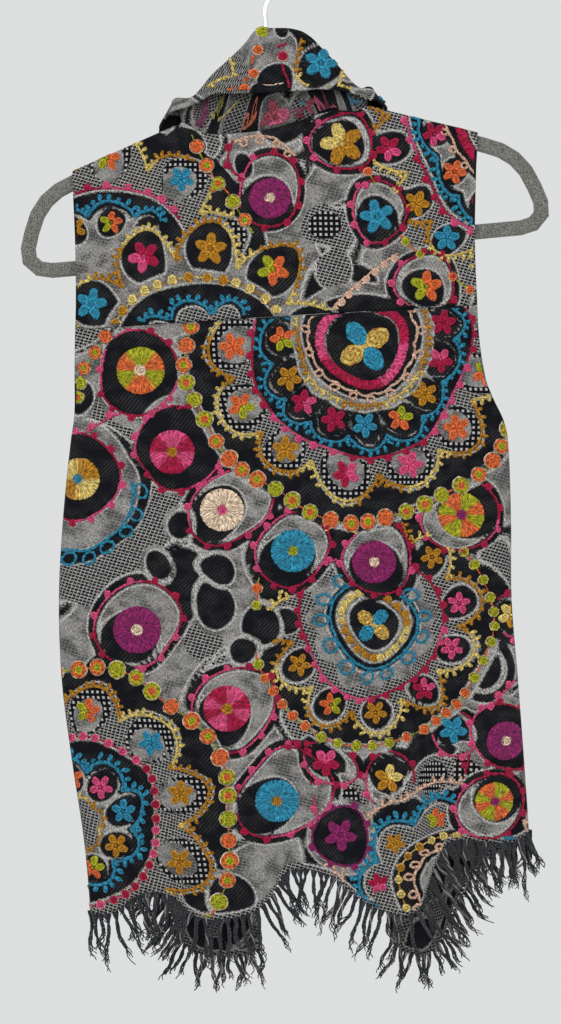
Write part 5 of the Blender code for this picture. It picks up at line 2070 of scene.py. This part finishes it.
def hold_front(side, lower):
    """Keeps a design's points on one front, between its side seam, its centre edge, its top and its hem."""

    def hold(flat):
        z = np.clip(flat[:, 1], lower(flat[:, 0]) + HEM_CLEAR, front_top(flat[:, 0]) - TOP_CLEAR)
        seam = back_column(np.full(len(z), side * FILLED_SHARE), z)
        edge = centre_edge(z, side) + side * SEAM_CLEAR
        low, high = (seam, edge) if side < 0 else (edge, seam)
        x = np.clip(flat[:, 0], low, high)
        z = np.minimum(z, front_top(x) - TOP_CLEAR)
        return np.stack([x, z], -1)

    return hold


def collar_face(across, down):
    """The collar's right side, by its places laid flat."""
    share = np.interp(across, FOLD_ACROSS, FOLD_SHARES)
    below = down - np.interp(share, FOLD_SHARES, FOLD_DOWN)
    on_stand = 1 + below / track(COLLAR, "stand", share)
    on_fall = 2 + (below - TURN_LENGTH) / track(COLLAR, "fall", share)
    along = np.where(below < 0, on_stand, np.where(below < TURN_LENGTH, 1 + below / TURN_LENGTH, on_fall))
    return collar_at(share, along)


def hold_collar(flat, reach=500.0, lowest_on_stand=None):
    """Keeps a design on the collar, clear of its seam and its edges."""
    across = np.clip(flat[:, 0], max(FOLD_ACROSS[0] + 2.0, -reach), min(FOLD_ACROSS[-1] - 2.0, reach))
    share = np.interp(across, FOLD_ACROSS, FOLD_SHARES)
    fold = np.interp(share, FOLD_SHARES, FOLD_DOWN)
    highest = fold + 4 - track(COLLAR, "stand", share)
    lowest = lowest_on_stand
    if lowest is None:
        lowest = track(COLLAR, "fall", share) + TURN_LENGTH - 2.0
    return np.stack([across, np.clip(flat[:, 1], highest, fold + lowest)], -1)


STAND_REACH = 80.0


def hold_stand(flat):
    """Keeps a design on the stand behind the neck, clear of its seam and its fold."""
    return hold_collar(flat, STAND_REACH, -3.0)


HEMS = {"back_panel": back_hem, "front_left": left_front_hem, "front_right": right_front_hem}
Dressing = namedtuple("Dressing", "design face hold sign lift")
DRESSINGS = {
    "back_yoke": Dressing(settled(YOKE_DESIGN), back_face, hold_back(back_top, yoke_seam), 1, 0.0),
    "back_panel": Dressing(settled(PANEL_DESIGN), back_face, hold_back(below_yoke_seam, back_hem), 1, 0.0),
    "front_left": Dressing(settled(FRONT_DESIGN), front_face, hold_front(-1, left_front_hem), -1, 0.0),
    "front_right": Dressing(settled(FRONT_DESIGN), front_face, hold_front(1, right_front_hem), -1, 0.0),
    "collar": Dressing(settled(COLLAR_DESIGN), collar_face, hold_collar, -1, WALL / 2),
}
STAND_DRESSING = Dressing(settled(STAND_DESIGN), collar_face, hold_stand, 1, WALL / 2)
# Steps between the columns of the cloth: the back in shares of half its width, the fronts in their own places
BACK_STEP = 0.018
NECK_STEP = 0.017
SHOULDER_STEP = 0.036
OPEN_EDGE_STEP = 0.025


def add_cloth():
    """The four panels and the collar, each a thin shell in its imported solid's place."""
    finishes = [jacquard("wool_jacquard", 1.0), jacquard("wool_jacquard_wrong_side", WRONG_SIDE_AND_SHADE_CONTRAST)]
    shares = np.concatenate(
        [
            even(-1, neck_share(-1), BACK_STEP, crowd_start=True),
            even(neck_share(-1), neck_share(1), NECK_STEP)[1:-1],
            even(neck_share(1), 1, BACK_STEP, crowd_end=True),
        ]
    )
    yoke = panel(shares, back_column, back_face, back_top, yoke_seam, True)
    body = panel(shares, back_column, back_face, below_yoke_seam, back_hem, False)
    grids = {
        "back_yoke": (yoke, FACING_BACK, "hanger"),
        "back_panel": (body, FACING_BACK, "back_yoke"),
    }
    for side, name, foot in ((-1, "front_left", left_front_hem), (1, "front_right", right_front_hem)):
        over_shoulder = even(0, 1, SHOULDER_STEP, crowd_start=True)
        places = np.concatenate([over_shoulder, even(1, 2, OPEN_EDGE_STEP)[1:]])

        def column_at(place_on, z, side=side):
            return front_column(place_on, z, side)

        grids[name] = (panel(places, column_at, front_face, front_top, foot, True), FACING_FRONT, "hanger")
    roll = collar_at(*collar_places())
    grids["collar"] = (roll, facing_collar(roll), "back_yoke")
    pieces = {}
    for name, (grid, outward, carrier) in grids.items():
        if name == "collar":
            flat_x, flat_z = collar_flat(*collar_places())
        else:
            flat_x, flat_z = grid[..., 0], grid[..., 2]
        zones = lay_ground(DRESSINGS[name].design, flat_x, flat_z, base_ground(flat_x, flat_z))
        if name in HEMS:
            zones = bound_hem(zones, flat_z - HEMS[name](flat_x))
        piece = cloth_piece(f"{name}_cloth", name, grid, outward, zones, finishes, name != "collar")
        pieces[name] = (piece, grid, carrier)
    return pieces


def declare_sheets(pieces, extras):
    """Measures each panel's cut cloth and lists what is sewn to it, keeping neither."""
    for name, (piece, grid, carrier) in pieces.items():
        width, length, area = cut_size(grid)
        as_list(extras.get(name, []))


def main():
    add_stage()
    pieces = add_cloth()
    extras = {}
    thread = embroidery_thread()
    for name, dressing in DRESSINGS.items():
        extras[name] = [lay_on(f"{name}_embroidery", dressing, thread)]
    extras["collar"].append(lay_on("collar_thread_ends", STAND_DRESSING, thread, MUTED))
    yarn = ravelled_yarn()
    for fringe in FRINGES:
        extras[fringe.panel].append(add_fringe(fringe, pieces[fringe.panel][1], yarn))
    flock = flocked_plastic()
    chrome = chromed_wire()
    for name, finish in (("hanger", flock), ("hanger_hook", chrome)):
        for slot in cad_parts[name].material_slots:
            slot.material = finish
    declare_sheets(pieces, extras)


main()
